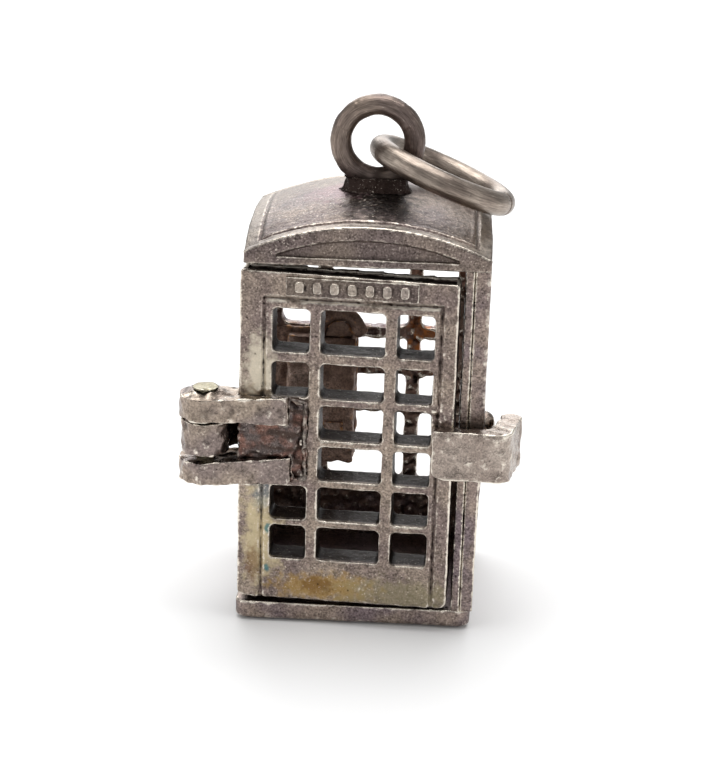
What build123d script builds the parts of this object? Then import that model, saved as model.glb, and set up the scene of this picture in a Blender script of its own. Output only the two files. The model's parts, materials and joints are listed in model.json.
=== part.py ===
from build123d import *
import os
from math import cos, sin, radians

# Opening telephone-booth charm in oxidised silver, soldered up from cast and cut pieces.
# Millimetres. Origin at the centre of the sole's underside, +Z up, -Y front, +X latch side.

# ---------------------------------------------------------------- driving dimensions
BODY_LEFT = -4.68        # outside of the left wall
BODY_RIGHT = 4.85        # outside of the right wall
BODY_D = 8.00            # front plane to back of the back wall
SOLE_W = 8.60
SOLE_D = 7.20
SOLE_T = 0.10
PLINTH_W = 9.49
PLINTH_X = -0.075        # the plinth was soldered on a little off centre
PLINTH_TOP = 0.86
PLINTH_CORNER_R = 0.45
PLINTH_EDGE_R = 0.16
HEAD_Z = 15.03           # underside of the roof, top of the walls
LEFT_WALL_T = 0.48
RIGHT_WALL_T = 0.63
BACK_T = 0.60
JAMB_W = 0.36
JAMB_D = 0.90
WALL_EDGE_R = 0.14

# Glazing, counted down from the top of the first row of panes
PANE_TOP = 13.29
FIRST_PANE_H = 1.74
TRANSOM_H = 0.45
PANE_H = 1.39
PANE_PITCH = 1.71
PANE_ROWS_BELOW = 5
PANE_R = 0.16
WALL_PANE_R = 0.26
WALL_PANE_LIFT = 0.47    # the walls' panes sit this much higher than the door's
BACK_SIDE_PANE_W = 1.45
BACK_MID_PANE_W = 3.20
BACK_BAR_W = 0.60
BACK_PANE_H = 1.29
BACK_TRANSOM_RISE = 0.13  # the back's transom is this much thicker at its top
SIDE_END_PANE_W = 1.24
SIDE_MID_PANE_W = 1.74
WALL_BAR_W = 0.45
SIDE_GRID_Y = 0.38       # middle of the side walls' glazing

# Roof: an arch across the width, raised along the depth
ROOF_W = 9.48
ROOF_D = 8.24
ROOF_X = 0.11
ROOF_CORNER_Z = 15.44
ROOF_ARCH_RISE = 1.14
ROOF_SIDE_RISE = 0.55
ROOF_SECTIONS = 5
LUNETTE_SILL_Z = 15.30
LUNETTE_HALF_W = 3.85
LUNETTE_APEX_Z = 16.08
LUNETTE_DEPTH = 0.17
SIDE_LUNETTE_HALF_W = 3.25
SIDE_LUNETTE_APEX_Z = 15.76
SIDE_LUNETTE_DEPTH = 0.14

# Hanging loop and jump ring
BAIL_X = 0.22
BAIL_Z = 19.03
BAIL_MEAN_R = 1.455
BAIL_WIRE_R = 0.43
BAIL_SOLDER_TOP = 17.62
BAIL_SOLDER_BASE = 16.90
RING_MEAN_R = 2.626
RING_WIRE_R = 0.485
RING_CENTRE = (2.80, 0.35, 17.69)
RING_LEAN = 22.2         # degrees that the ring leans down to the right
RING_PITCH = 6.65        # degrees that its far side lies lower than its near side
RING_SPLIT_ANGLE = -22.0
RING_SPLIT_GAP = 0.05

# Hinge and door leaf. The leaf stands AJAR degrees open about the pin.
AJAR = 3.27
PIN_X = -6.07
PIN_Y = -3.75
PIN_R = 0.36
PIN_HEAD_R = 0.54
PIN_HEAD_T = 0.14
PIN_NECK = 0.14          # the head stands clear of the upper arm
PIN_FOOT_T = 0.07
BORE_PLAY = 0.03
KNUCKLE_R = 0.95
ARM_R = 1.05
ARM_FRONT = 0.45         # how far the arms stand off the leaf's face
ARM_ROOT_D = 1.41        # depth of an arm beside the leaf's edge
ARM_TAPER = 0.20         # how much further the arm stands off at the leaf's edge than at its end
ARM_END_R = 0.12
UPPER_ARM = (8.70, 9.65)
LOWER_ARM = (6.09, 7.03)
UPPER_ARM_TIP = (8.66, 9.80)
LOWER_ARM_TIP = (6.18, 7.33)
UPPER_ARM_END = 3.33
LOWER_ARM_END = 3.47
KNUCKLE_Z = (7.26, 8.61)
KNUCKLE_TAIL_Z = (7.20, 8.61)
FACE_OFFSET = 0.171      # pin axis to the plane of the leaf's face
LEAF_LEFT = 1.33         # pin axis to the leaf's hinge edge
LEAF_W = 8.43
LEAF_T = 1.34
LEAF_BOTTOM = 1.114
LEAF_TOP_HINGE = 14.79
LEAF_TOP_LATCH = 14.62
LEAF_CORNER_R = 0.30
LEAF_TOP_CORNER_R = 0.12
DOOR_PANES_START = 1.296
DOOR_END_PANE_W = 1.42
DOOR_MID_PANE_W = 2.48
DOOR_BAR_W = 0.46
FIELD_LEFT = 0.866
FIELD_RIGHT = 7.886
FIELD_TOP = 13.77
FIELD_LINE_W = 0.17
FIELD_LINE_DEPTH = 0.10
SIGN_LEFT = 1.776
SIGN_W = 5.12
SIGN_Z = (13.84, 14.60)
SIGN_T = 0.10
SIGN_PADS = 7
SIGN_PAD_W = 0.34
SIGN_PAD_H = 0.46
SIGN_PAD_T = 0.09
LEFT_WALL_FRONT = -2.52  # the leaf laps over this wall's front edge
HINGE_SOLDER_T = 0.24
HINGE_SOLDER_PLUG = 0.85  # how deep it fills the two panes behind the arms
HINGE_SOLDER_END = 4.07

# Latch: a strap with a hook bent round the right-hand wall, and the bead it passes
STRAP_START = 8.956
STRAP_Z = (6.90, 8.92)
STRAP_T = 0.60
STRAP_CORNER_R = 0.35
HOOK_FOOT = (10.95, -0.171)   # inside of the bend, from here
HOOK_BEND = (11.22, 0.10)
HOOK_INNER = (11.34, 0.60)
HOOK_MOUTH = (11.50, 1.26)
HOOK_TIP = (11.89, 1.81)
HOOK_BACK = (12.29, 1.12)
HOOK_OUTER = 12.02
BEAD_R = 0.47
BEAD_CENTRE = (4.81, -3.00, 8.62)

# Telephone on the back wall
PHONE_LEFT = -3.42
PHONE_RIGHT = -0.44
PHONE_PLATE_T = 0.25
PHONE_PLATE_LEFT = -4.08
PHONE_PLATE_Z = (4.45, 10.20)
PHONE_BODY_D = 1.05
PHONE_BODY_Z = (4.60, 10.00)
PHONE_SLOPE = 0.45
HANDSET_R = 0.30
HANDSET_TOP = 11.32
HANDSET_LOW = 10.36
HANDSET_MID = -1.22
HANDSET_SPAN = 1.67
CRADLE_W = 1.10
CRADLE_H = 0.76
CRADLE_D = 0.40
TRAY_X = (-1.78, -0.92)
TRAY_Z = (6.12, 6.36)
TRAY_H = 0.14
TRAY_D = 0.26

# ---------------------------------------------------------------- derived places
BODY_MID_X = (BODY_LEFT + BODY_RIGHT) / 2
FRONT_Y = -BODY_D / 2
BACK_Y = BODY_D / 2
BACK_IN_Y = BACK_Y - BACK_T
WALL_IN_X = BODY_RIGHT - RIGHT_WALL_T
JAMB_IN_X = WALL_IN_X - JAMB_W
ROOF_LEFT = ROOF_X - ROOF_W / 2
ROOF_RIGHT = ROOF_X + ROOF_W / 2
ROOF_B = ROOF_D / 2
ALONG = (cos(radians(AJAR)), -sin(radians(AJAR)), 0)
INWARD = (sin(radians(AJAR)), cos(radians(AJAR)), 0)
OUTWARD = (-INWARD[0], -INWARD[1], 0)
LEAF_PLAN = Plane(origin=(PIN_X, PIN_Y, 0), x_dir=ALONG, z_dir=(0, 0, 1))
LEAF_FACE = Plane(
    origin=(PIN_X + OUTWARD[0] * FACE_OFFSET, PIN_Y + OUTWARD[1] * FACE_OFFSET, 0),
    x_dir=ALONG,
    z_dir=OUTWARD,
)


def pane_rows(lift=0.0, transom_rise=0.0, pane_h=PANE_H):
    """Lowest and highest z of each row of panes, from the top row down."""
    rows = [(PANE_TOP - FIRST_PANE_H + lift + transom_rise, PANE_TOP + lift)]
    top = PANE_TOP - FIRST_PANE_H - TRANSOM_H + lift
    for row in range(PANE_ROWS_BELOW):
        high = top - row * PANE_PITCH
        rows.append((high - pane_h, high))
    return rows


def pane_columns(start, end_w, mid_w, bar_w):
    """Left and right edges of the three columns of panes."""
    columns = []
    left = start
    for width in (end_w, mid_w, end_w):
        columns.append((left, left + width))
        left += width + bar_w
    return columns


def draw_panes(columns, rows, corner_r=WALL_PANE_R):
    """Rounded pane outlines in the sketch that is open."""
    for left, right in columns:
        for low, high in rows:
            with Locations(((left + right) / 2, (low + high) / 2)):
                RectangleRounded(right - left, high - low, corner_r)


# ---------------------------------------------------------------- booth
with BuildPart() as sole_plate:
    with BuildSketch():
        RectangleRounded(SOLE_W, SOLE_D, PLINTH_CORNER_R)
    extrude(amount=SOLE_T)

with BuildPart() as plinth:
    with BuildSketch(Plane.XY.offset(SOLE_T)):
        with Locations((PLINTH_X, 0)):
            RectangleRounded(PLINTH_W, BODY_D, PLINTH_CORNER_R)
    extrude(amount=PLINTH_TOP - SOLE_T)
    fillet(plinth.faces().sort_by(Axis.Z)[0].edges(), PLINTH_EDGE_R)

with BuildPart() as back_wall:
    with BuildSketch(Plane.XZ.offset(-BACK_IN_Y)):
        with Locations((BODY_MID_X, (PLINTH_TOP + HEAD_Z) / 2)):
            Rectangle(BODY_RIGHT - BODY_LEFT, HEAD_Z - PLINTH_TOP)
    extrude(amount=-BACK_T)
    fillet(back_wall.edges().filter_by(Axis.Z).group_by(Axis.Y)[-1], WALL_EDGE_R)
    back_grid_w = 2 * BACK_SIDE_PANE_W + BACK_MID_PANE_W + 2 * BACK_BAR_W
    with BuildSketch(Plane.XZ.offset(-BACK_IN_Y)):
        draw_panes(
            pane_columns(-back_grid_w / 2, BACK_SIDE_PANE_W, BACK_MID_PANE_W, BACK_BAR_W),
            pane_rows(WALL_PANE_LIFT, BACK_TRANSOM_RISE, BACK_PANE_H),
        )
    extrude(amount=-BACK_T, mode=Mode.SUBTRACT)

side_grid_w = 2 * SIDE_END_PANE_W + SIDE_MID_PANE_W + 2 * WALL_BAR_W
side_columns = pane_columns(SIDE_GRID_Y - side_grid_w / 2, SIDE_END_PANE_W, SIDE_MID_PANE_W, WALL_BAR_W)

with BuildPart() as right_wall:
    with BuildSketch(Plane.YZ.offset(WALL_IN_X)):
        with Locations(((FRONT_Y + BACK_IN_Y) / 2, (PLINTH_TOP + HEAD_Z) / 2)):
            Rectangle(BACK_IN_Y - FRONT_Y, HEAD_Z - PLINTH_TOP)
    extrude(amount=RIGHT_WALL_T)
    fillet(right_wall.edges().filter_by(Axis.Z).group_by(Axis.Y)[0].sort_by(Axis.X)[-1], WALL_EDGE_R)
    with BuildSketch(Plane.YZ.offset(WALL_IN_X)):
        draw_panes(side_columns, pane_rows(WALL_PANE_LIFT))
    extrude(amount=RIGHT_WALL_T, mode=Mode.SUBTRACT)

with BuildPart() as left_wall:
    with BuildSketch(Plane.YZ.offset(BODY_LEFT)):
        with Locations(((LEFT_WALL_FRONT + BACK_IN_Y) / 2, (PLINTH_TOP + HEAD_Z) / 2)):
            Rectangle(BACK_IN_Y - LEFT_WALL_FRONT, HEAD_Z - PLINTH_TOP)
    extrude(amount=LEFT_WALL_T)
    with BuildSketch(Plane.YZ.offset(BODY_LEFT)):
        draw_panes(side_columns, pane_rows(WALL_PANE_LIFT))
    extrude(amount=LEFT_WALL_T, mode=Mode.SUBTRACT)

with BuildPart() as right_jamb:
    with BuildSketch(Plane.XY.offset(PLINTH_TOP)):
        with Locations((JAMB_IN_X + JAMB_W / 2, FRONT_Y + JAMB_D / 2)):
            Rectangle(JAMB_W, JAMB_D)
    extrude(amount=HEAD_Z - PLINTH_TOP)

with BuildPart() as roof:
    for section in range(ROOF_SECTIONS):
        depth = -ROOF_B + section * ROOF_D / (ROOF_SECTIONS - 1)
        rise = ROOF_SIDE_RISE * (1 - (depth / ROOF_B) ** 2)
        shoulder = ROOF_CORNER_Z + rise
        with BuildSketch(Plane.XZ.offset(-depth)):
            with BuildLine():
                Polyline(
                    (ROOF_LEFT, shoulder), (ROOF_LEFT, HEAD_Z), (ROOF_RIGHT, HEAD_Z), (ROOF_RIGHT, shoulder)
                )
                ThreePointArc(
                    (ROOF_RIGHT, shoulder), (ROOF_X, shoulder + ROOF_ARCH_RISE), (ROOF_LEFT, shoulder)
                )
            make_face()
    loft()
    for face_plane, middle, half_w, apex, recess in (
        (Plane.XZ.offset(ROOF_B), ROOF_X, LUNETTE_HALF_W, LUNETTE_APEX_Z, LUNETTE_DEPTH),
        (Plane.XZ.offset(-ROOF_B + LUNETTE_DEPTH), ROOF_X, LUNETTE_HALF_W, LUNETTE_APEX_Z, LUNETTE_DEPTH),
        (Plane.YZ.offset(ROOF_RIGHT), 0, SIDE_LUNETTE_HALF_W, SIDE_LUNETTE_APEX_Z, SIDE_LUNETTE_DEPTH),
        (Plane.YZ.offset(ROOF_LEFT + SIDE_LUNETTE_DEPTH), 0, SIDE_LUNETTE_HALF_W, SIDE_LUNETTE_APEX_Z,
         SIDE_LUNETTE_DEPTH),
    ):
        left, right = middle - half_w, middle + half_w
        with BuildSketch(face_plane):
            with BuildLine():
                Line((left, LUNETTE_SILL_Z), (right, LUNETTE_SILL_Z))
                ThreePointArc((right, LUNETTE_SILL_Z), (middle, apex), (left, LUNETTE_SILL_Z))
            make_face()
        extrude(amount=-recess, mode=Mode.SUBTRACT)

ROOF_TOP_Z = ROOF_CORNER_Z + ROOF_ARCH_RISE + ROOF_SIDE_RISE

with BuildPart() as bail:
    with Locations((BAIL_X, 0, BAIL_Z)):
        Torus(BAIL_MEAN_R, BAIL_WIRE_R, rotation=(90, 0, 0))
    split(bisect_by=Plane.XY.offset(ROOF_TOP_Z), keep=Keep.TOP)

with BuildPart() as bail_solder:
    with BuildSketch(Plane.XY.offset(BAIL_SOLDER_BASE)):
        with Locations((BAIL_X, 0)):
            Ellipse(1.50, 1.02)
    with BuildSketch(Plane.XY.offset(BAIL_SOLDER_TOP)):
        with Locations((BAIL_X, 0)):
            Ellipse(1.24, 0.62)
    loft()
    add(roof.part, mode=Mode.SUBTRACT)
    with Locations((BAIL_X, 0, BAIL_Z)):
        Torus(BAIL_MEAN_R, BAIL_WIRE_R, rotation=(90, 0, 0), mode=Mode.SUBTRACT)

with BuildPart() as hinge_knuckle:
    with BuildSketch(Plane.XY.offset(KNUCKLE_Z[0])):
        with Locations((PIN_X, PIN_Y)):
            Circle(KNUCKLE_R)
    extrude(amount=KNUCKLE_Z[1] - KNUCKLE_Z[0])
    with BuildSketch(Plane.XY.offset(KNUCKLE_TAIL_Z[0])):
        wall = BODY_LEFT - PIN_X
        lap = LEFT_WALL_FRONT - PIN_Y
        tail = [(-0.20, 0.60), (0.75, 0.30), (wall - 0.17, 0.75), (wall - 0.17, lap), (wall, lap),
                (wall, 2.30), (0.95, 2.30), (0.20, 1.28)]
        with BuildLine():
            Polyline([(PIN_X + across, PIN_Y + back) for across, back in tail], close=True)
        make_face()
    extrude(amount=KNUCKLE_TAIL_Z[1] - KNUCKLE_TAIL_Z[0])
    with BuildSketch(Plane.XY.offset(KNUCKLE_TAIL_Z[0])):
        with Locations((PIN_X, PIN_Y)):
            Circle(PIN_R + BORE_PLAY)
    extrude(amount=KNUCKLE_TAIL_Z[1] - KNUCKLE_TAIL_Z[0], mode=Mode.SUBTRACT)

with BuildPart() as latch_bead:
    with Locations(BEAD_CENTRE):
        Sphere(BEAD_R, rotation=(0, 90, 0))
    split(bisect_by=Plane.YZ.offset(BODY_RIGHT), keep=Keep.TOP)

# ---------------------------------------------------------------- telephone
phone_w = PHONE_RIGHT - PHONE_LEFT
plate_front = BACK_IN_Y - PHONE_PLATE_T
body_front = plate_front - PHONE_BODY_D

with BuildPart() as phone_backplate:
    with BuildSketch(Plane.XZ.offset(-plate_front)):
        with Locations(((PHONE_PLATE_LEFT + PHONE_RIGHT) / 2, sum(PHONE_PLATE_Z) / 2)):
            RectangleRounded(PHONE_RIGHT - PHONE_PLATE_LEFT, PHONE_PLATE_Z[1] - PHONE_PLATE_Z[0], 0.30)
    extrude(amount=-PHONE_PLATE_T)

with BuildPart() as phone_body:
    with BuildSketch(Plane.YZ.offset(PHONE_LEFT + 0.06)):
        with BuildLine():
            Polyline(
                (plate_front, PHONE_BODY_Z[0]),
                (body_front, PHONE_BODY_Z[0]),
                (body_front, PHONE_BODY_Z[1] - 0.8),
                (body_front + PHONE_SLOPE, PHONE_BODY_Z[1]),
                (plate_front, PHONE_BODY_Z[1]),
                close=True,
            )
        make_face()
    extrude(amount=phone_w - 0.12)
    fillet(phone_body.edges().filter_by(Axis.Z).group_by(Axis.Y)[0], 0.18)

with BuildPart() as phone_handset:
    handset_y = body_front + PHONE_SLOPE + 0.15
    left = HANDSET_MID - HANDSET_SPAN / 2
    right = HANDSET_MID + HANDSET_SPAN / 2
    with BuildLine() as bow:
        ThreePointArc(
            (left, handset_y, HANDSET_LOW),
            (HANDSET_MID, handset_y, HANDSET_TOP - HANDSET_R),
            (right, handset_y, HANDSET_LOW),
        )
    with BuildSketch(Plane(origin=bow.line @ 0, z_dir=bow.line % 0)):
        Circle(HANDSET_R)
    sweep(path=bow.line)
    for end in (left, right):
        with Locations((end, handset_y, HANDSET_LOW)):
            Sphere(HANDSET_R + 0.04)
    split(bisect_by=Plane.XZ.offset(-plate_front), keep=Keep.TOP)

with BuildPart() as phone_cradle:
    with BuildSketch(Plane.XY.offset(PHONE_BODY_Z[1])):
        with Locations((HANDSET_MID, handset_y + 0.10)):
            Rectangle(CRADLE_W, CRADLE_D)
    extrude(amount=CRADLE_H)
    chamfer(phone_cradle.edges().filter_by(Axis.Y).group_by(Axis.Z)[-1], 0.35)
    add(phone_handset.part, mode=Mode.SUBTRACT)

with BuildPart() as phone_coin_tray:
    with BuildSketch(Plane.XZ.offset(-body_front)):
        for low in TRAY_Z:
            with Locations((sum(TRAY_X) / 2, low + TRAY_H / 2)):
                RectangleRounded(TRAY_X[1] - TRAY_X[0], TRAY_H, 0.06)
        with Locations((sum(TRAY_X) / 2, sum(TRAY_Z) / 2 + TRAY_H / 2)):
            Rectangle(0.60, TRAY_Z[1] - TRAY_Z[0])
    extrude(amount=TRAY_D)

# ---------------------------------------------------------------- door
leaf_right = LEAF_LEFT + LEAF_W
with BuildPart() as door_leaf:
    with BuildSketch(LEAF_FACE) as outline:
        with BuildLine():
            Polyline(
                (LEAF_LEFT, LEAF_BOTTOM),
                (leaf_right, LEAF_BOTTOM),
                (leaf_right, LEAF_TOP_LATCH),
                (LEAF_LEFT, LEAF_TOP_HINGE),
                close=True,
            )
        make_face()
        fillet(outline.vertices().sort_by(Axis.Y)[:2], LEAF_CORNER_R)
        fillet(outline.vertices().sort_by(Axis.Y)[-2:], LEAF_TOP_CORNER_R)
    extrude(amount=-LEAF_T)
    with BuildSketch(LEAF_FACE):
        draw_panes(
            pane_columns(LEAF_LEFT + DOOR_PANES_START, DOOR_END_PANE_W, DOOR_MID_PANE_W, DOOR_BAR_W),
            pane_rows(),
            PANE_R,
        )
    extrude(amount=-LEAF_T, mode=Mode.SUBTRACT)
    with BuildSketch(LEAF_FACE):
        line_mid = (LEAF_BOTTOM + FIELD_TOP) / 2
        for edge in (FIELD_LEFT + FIELD_LINE_W / 2, FIELD_RIGHT - FIELD_LINE_W / 2):
            with Locations((LEAF_LEFT + edge, line_mid)):
                Rectangle(FIELD_LINE_W, FIELD_TOP - LEAF_BOTTOM)
        with Locations((LEAF_LEFT + (FIELD_LEFT + FIELD_RIGHT) / 2, FIELD_TOP - FIELD_LINE_W / 2)):
            Rectangle(FIELD_RIGHT - FIELD_LEFT, FIELD_LINE_W)
    extrude(amount=-FIELD_LINE_DEPTH, mode=Mode.SUBTRACT)

with BuildPart() as sign_plate:
    sign_mid = (LEAF_LEFT + SIGN_LEFT + SIGN_W / 2, sum(SIGN_Z) / 2)
    with BuildSketch(LEAF_FACE):
        with Locations(sign_mid):
            Rectangle(SIGN_W, SIGN_Z[1] - SIGN_Z[0])
    extrude(amount=SIGN_T)
    with BuildSketch(LEAF_FACE.offset(SIGN_T)):
        with Locations(sign_mid):
            with GridLocations(SIGN_W / (SIGN_PADS + 0.6), 0, SIGN_PADS, 1):
                RectangleRounded(SIGN_PAD_W, SIGN_PAD_H, 0.12)
    extrude(amount=SIGN_PAD_T)


def make_arm(levels, tip_levels, end):
    """One hinge arm: a knuckle round the pin that runs out, ever flatter, over the leaf's face."""
    low, high = levels
    with BuildPart() as arm:
        with BuildSketch(LEAF_PLAN.offset(low - 1)):
            with BuildLine():
                Polyline(
                    (0.0, -ARM_R),
                    (LEAF_LEFT, -FACE_OFFSET - ARM_FRONT - ARM_TAPER),
                    (end - ARM_END_R, -FACE_OFFSET - ARM_FRONT),
                    (end, -FACE_OFFSET - ARM_FRONT + ARM_END_R),
                    (end, -FACE_OFFSET),
                    (LEAF_LEFT, -FACE_OFFSET),
                    (LEAF_LEFT, ARM_ROOT_D - FACE_OFFSET - ARM_FRONT),
                    (0.0, ARM_ROOT_D - FACE_OFFSET - ARM_FRONT),
                    close=True,
                )
            make_face()
        extrude(amount=high - low + 2)
        for level, tip_level, keep in ((low, tip_levels[0], Keep.TOP), (high, tip_levels[1], Keep.BOTTOM)):
            climb = (tip_level - level) / end
            split(
                bisect_by=Plane(
                    origin=LEAF_PLAN.from_local_coords((0, 0, level)),
                    x_dir=LEAF_PLAN.y_dir,
                    z_dir=Vector(0, 0, 1) - Vector(*ALONG) * climb,
                ),
                keep=keep,
            )
        with BuildSketch(LEAF_PLAN.offset(low)):
            Circle(ARM_R)
        extrude(amount=high - low)
        with BuildSketch(LEAF_PLAN.offset(low - 1)):
            Circle(PIN_R)
        extrude(amount=high - low + 2, mode=Mode.SUBTRACT)
    return arm.part


hinge_arm_upper = make_arm(UPPER_ARM, UPPER_ARM_TIP, UPPER_ARM_END)
hinge_arm_lower = make_arm(LOWER_ARM, LOWER_ARM_TIP, LOWER_ARM_END)

with BuildPart() as hinge_pin:
    with BuildSketch(LEAF_PLAN.offset(LOWER_ARM[0])):
        Circle(PIN_R)
    extrude(amount=UPPER_ARM[1] + PIN_NECK - LOWER_ARM[0])
    with BuildSketch(LEAF_PLAN.offset(UPPER_ARM[1] + PIN_NECK)):
        Circle(PIN_HEAD_R)
    extrude(amount=PIN_HEAD_T)
    with BuildSketch(LEAF_PLAN.offset(LOWER_ARM[0])):
        Circle(PIN_HEAD_R)
    extrude(amount=-PIN_FOOT_T)

with BuildPart() as hinge_solder:
    blocked_column = (LEAF_LEFT + DOOR_PANES_START, LEAF_LEFT + DOOR_PANES_START + DOOR_END_PANE_W)
    with BuildSketch(LEAF_FACE):
        draw_panes([blocked_column], pane_rows()[2:4], PANE_R)
    extrude(amount=-HINGE_SOLDER_PLUG)
    with BuildSketch(LEAF_FACE):
        with BuildLine():
            Polyline(
                (LEAF_LEFT + 0.04, LOWER_ARM[0] + 0.20),
                (HINGE_SOLDER_END - 0.30, LOWER_ARM[0] + 0.16),
                (HINGE_SOLDER_END, LOWER_ARM[0] + 0.40),
                (HINGE_SOLDER_END - 0.08, (LOWER_ARM[1] + UPPER_ARM[0]) / 2),
                (HINGE_SOLDER_END - 0.04, UPPER_ARM[1] - 0.10),
                (HINGE_SOLDER_END - 0.40, UPPER_ARM[1] + 0.10),
                (LEAF_LEFT + 0.04, UPPER_ARM[1] - 0.10),
                close=True,
            )
        make_face()
    extrude(amount=HINGE_SOLDER_T)
    add(hinge_arm_upper, mode=Mode.SUBTRACT)
    add(hinge_arm_lower, mode=Mode.SUBTRACT)

with BuildPart() as latch_strap:
    strap_front = -FACE_OFFSET - STRAP_T
    with BuildSketch(LEAF_PLAN.offset(STRAP_Z[0])):
        with BuildLine():
            Line((STRAP_START, -FACE_OFFSET), (STRAP_START, strap_front))
            Line((STRAP_START, strap_front), (HOOK_OUTER - 0.45, strap_front))
            ThreePointArc(
                (HOOK_OUTER - 0.45, strap_front),
                (HOOK_OUTER - 0.12, strap_front + 0.13),
                (HOOK_OUTER + 0.04, strap_front + 0.45),
            )
            Line((HOOK_OUTER + 0.04, strap_front + 0.45), HOOK_BACK)
            ThreePointArc(HOOK_BACK, HOOK_TIP, HOOK_MOUTH)
            Line(HOOK_MOUTH, HOOK_INNER)
            ThreePointArc(HOOK_INNER, HOOK_BEND, HOOK_FOOT)
            Line(HOOK_FOOT, (STRAP_START, -FACE_OFFSET))
        make_face()
    extrude(amount=STRAP_Z[1] - STRAP_Z[0])
    free_end = latch_strap.edges().filter_by(Axis((0, 0, 0), INWARD)).group_by(Axis.X)[0]
    fillet(free_end.sort_by(Axis.Z)[0], STRAP_CORNER_R)

# ---------------------------------------------------------------- jump ring
lean = radians(RING_LEAN)
pitch = radians(RING_PITCH)
ring_across = Vector(cos(lean), 0, -sin(lean))
ring_away = Vector(0, cos(pitch), -sin(pitch))
ring_away = (ring_away - ring_across * ring_across.dot(ring_away)).normalized()
RING_PLANE = Plane(origin=RING_CENTRE, x_dir=ring_across, z_dir=ring_across.cross(ring_away))

with BuildPart(RING_PLANE) as jump_ring:
    Torus(RING_MEAN_R, RING_WIRE_R)
    split_at = radians(RING_SPLIT_ANGLE)
    split_place = (RING_MEAN_R * cos(split_at), RING_MEAN_R * sin(split_at), 0)
    with Locations(Location(split_place, (0, 0, RING_SPLIT_ANGLE))):
        Box(4 * RING_WIRE_R, RING_SPLIT_GAP, 4 * RING_WIRE_R, mode=Mode.SUBTRACT)

# ---------------------------------------------------------------- hand-over
pieces = {
    "sole_plate": sole_plate.part,
    "plinth": plinth.part,
    "back_wall": back_wall.part,
    "left_wall": left_wall.part,
    "right_wall": right_wall.part,
    "right_jamb": right_jamb.part,
    "roof": roof.part,
    "bail": bail.part,
    "bail_solder": bail_solder.part,
    "hinge_knuckle": hinge_knuckle.part,
    "latch_bead": latch_bead.part,
    "phone_backplate": phone_backplate.part,
    "phone_body": phone_body.part,
    "phone_cradle": phone_cradle.part,
    "phone_handset": phone_handset.part,
    "phone_coin_tray": phone_coin_tray.part,
    "door_leaf": door_leaf.part,
    "sign_plate": sign_plate.part,
    "hinge_arm_upper": hinge_arm_upper,
    "hinge_arm_lower": hinge_arm_lower,
    "hinge_pin": hinge_pin.part,
    "hinge_solder": hinge_solder.part,
    "latch_strap": latch_strap.part,
    "jump_ring": jump_ring.part,
}
os.makedirs("parts", exist_ok=True)
for name, piece in pieces.items():
    piece.label = name
    export_step(piece, f"parts/{name}.step")
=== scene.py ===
"""A silver telephone-booth charm, cast, soldered up, oxidised and worn, on a pale studio floor."""

import json
import logging
import math
from collections.abc import Callable, Mapping, Sequence
from dataclasses import dataclass
from enum import Enum

import bmesh
import bpy
import numpy as np
from mathutils import Matrix, Vector


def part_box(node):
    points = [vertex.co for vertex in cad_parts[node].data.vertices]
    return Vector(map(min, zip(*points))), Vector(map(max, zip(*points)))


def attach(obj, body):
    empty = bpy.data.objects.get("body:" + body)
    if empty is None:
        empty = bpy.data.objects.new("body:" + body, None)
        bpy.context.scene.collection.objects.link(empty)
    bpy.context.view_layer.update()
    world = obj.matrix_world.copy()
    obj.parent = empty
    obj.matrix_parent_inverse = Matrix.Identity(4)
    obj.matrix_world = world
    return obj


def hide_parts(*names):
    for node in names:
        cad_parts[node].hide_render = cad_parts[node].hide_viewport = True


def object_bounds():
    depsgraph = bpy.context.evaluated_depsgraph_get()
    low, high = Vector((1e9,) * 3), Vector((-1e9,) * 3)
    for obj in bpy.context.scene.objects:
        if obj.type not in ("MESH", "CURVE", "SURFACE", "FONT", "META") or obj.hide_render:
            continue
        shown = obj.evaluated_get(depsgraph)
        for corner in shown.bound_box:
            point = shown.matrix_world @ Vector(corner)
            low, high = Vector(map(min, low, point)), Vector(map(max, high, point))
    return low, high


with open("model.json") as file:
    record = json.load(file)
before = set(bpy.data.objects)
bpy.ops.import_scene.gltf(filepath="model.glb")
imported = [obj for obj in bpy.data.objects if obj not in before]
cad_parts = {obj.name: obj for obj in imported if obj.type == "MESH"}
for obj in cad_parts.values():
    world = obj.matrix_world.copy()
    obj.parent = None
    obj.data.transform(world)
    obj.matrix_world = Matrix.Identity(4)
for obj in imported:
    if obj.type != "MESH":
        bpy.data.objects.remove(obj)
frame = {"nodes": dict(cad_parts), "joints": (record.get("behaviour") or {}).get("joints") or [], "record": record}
CAD_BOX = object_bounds()

LOG = logging.getLogger("charm")
MM = 0.001

BODY_OF = {node: body for body, nodes in frame["record"]["behaviour"]["bodies"].items() for node in nodes}

# Points are rows of X, Y and Z in millimetres. A Field takes the places of a mesh's vertices and the
# directions that its surface looks in there, one row each, and gives one value for each row.
Points = np.ndarray
Field = Callable[[Points, Points], np.ndarray]


# ---------------------------------------------------------------- shared tools
def colour(hex_code: str) -> tuple[float, float, float, float]:
    """Turn an sRGB hex colour into linear RGBA.

    Args:
        hex_code: Six hex digits with a leading #.

    Returns:
        Linear red, green and blue, and an alpha of 1.
    """
    channels = [int(hex_code[i:i + 2], 16) / 255 for i in (1, 3, 5)]
    linear = [c / 12.92 if c <= 0.04045 else ((c + 0.055) / 1.055) ** 2.4 for c in channels]
    return (*linear, 1.0)


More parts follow.
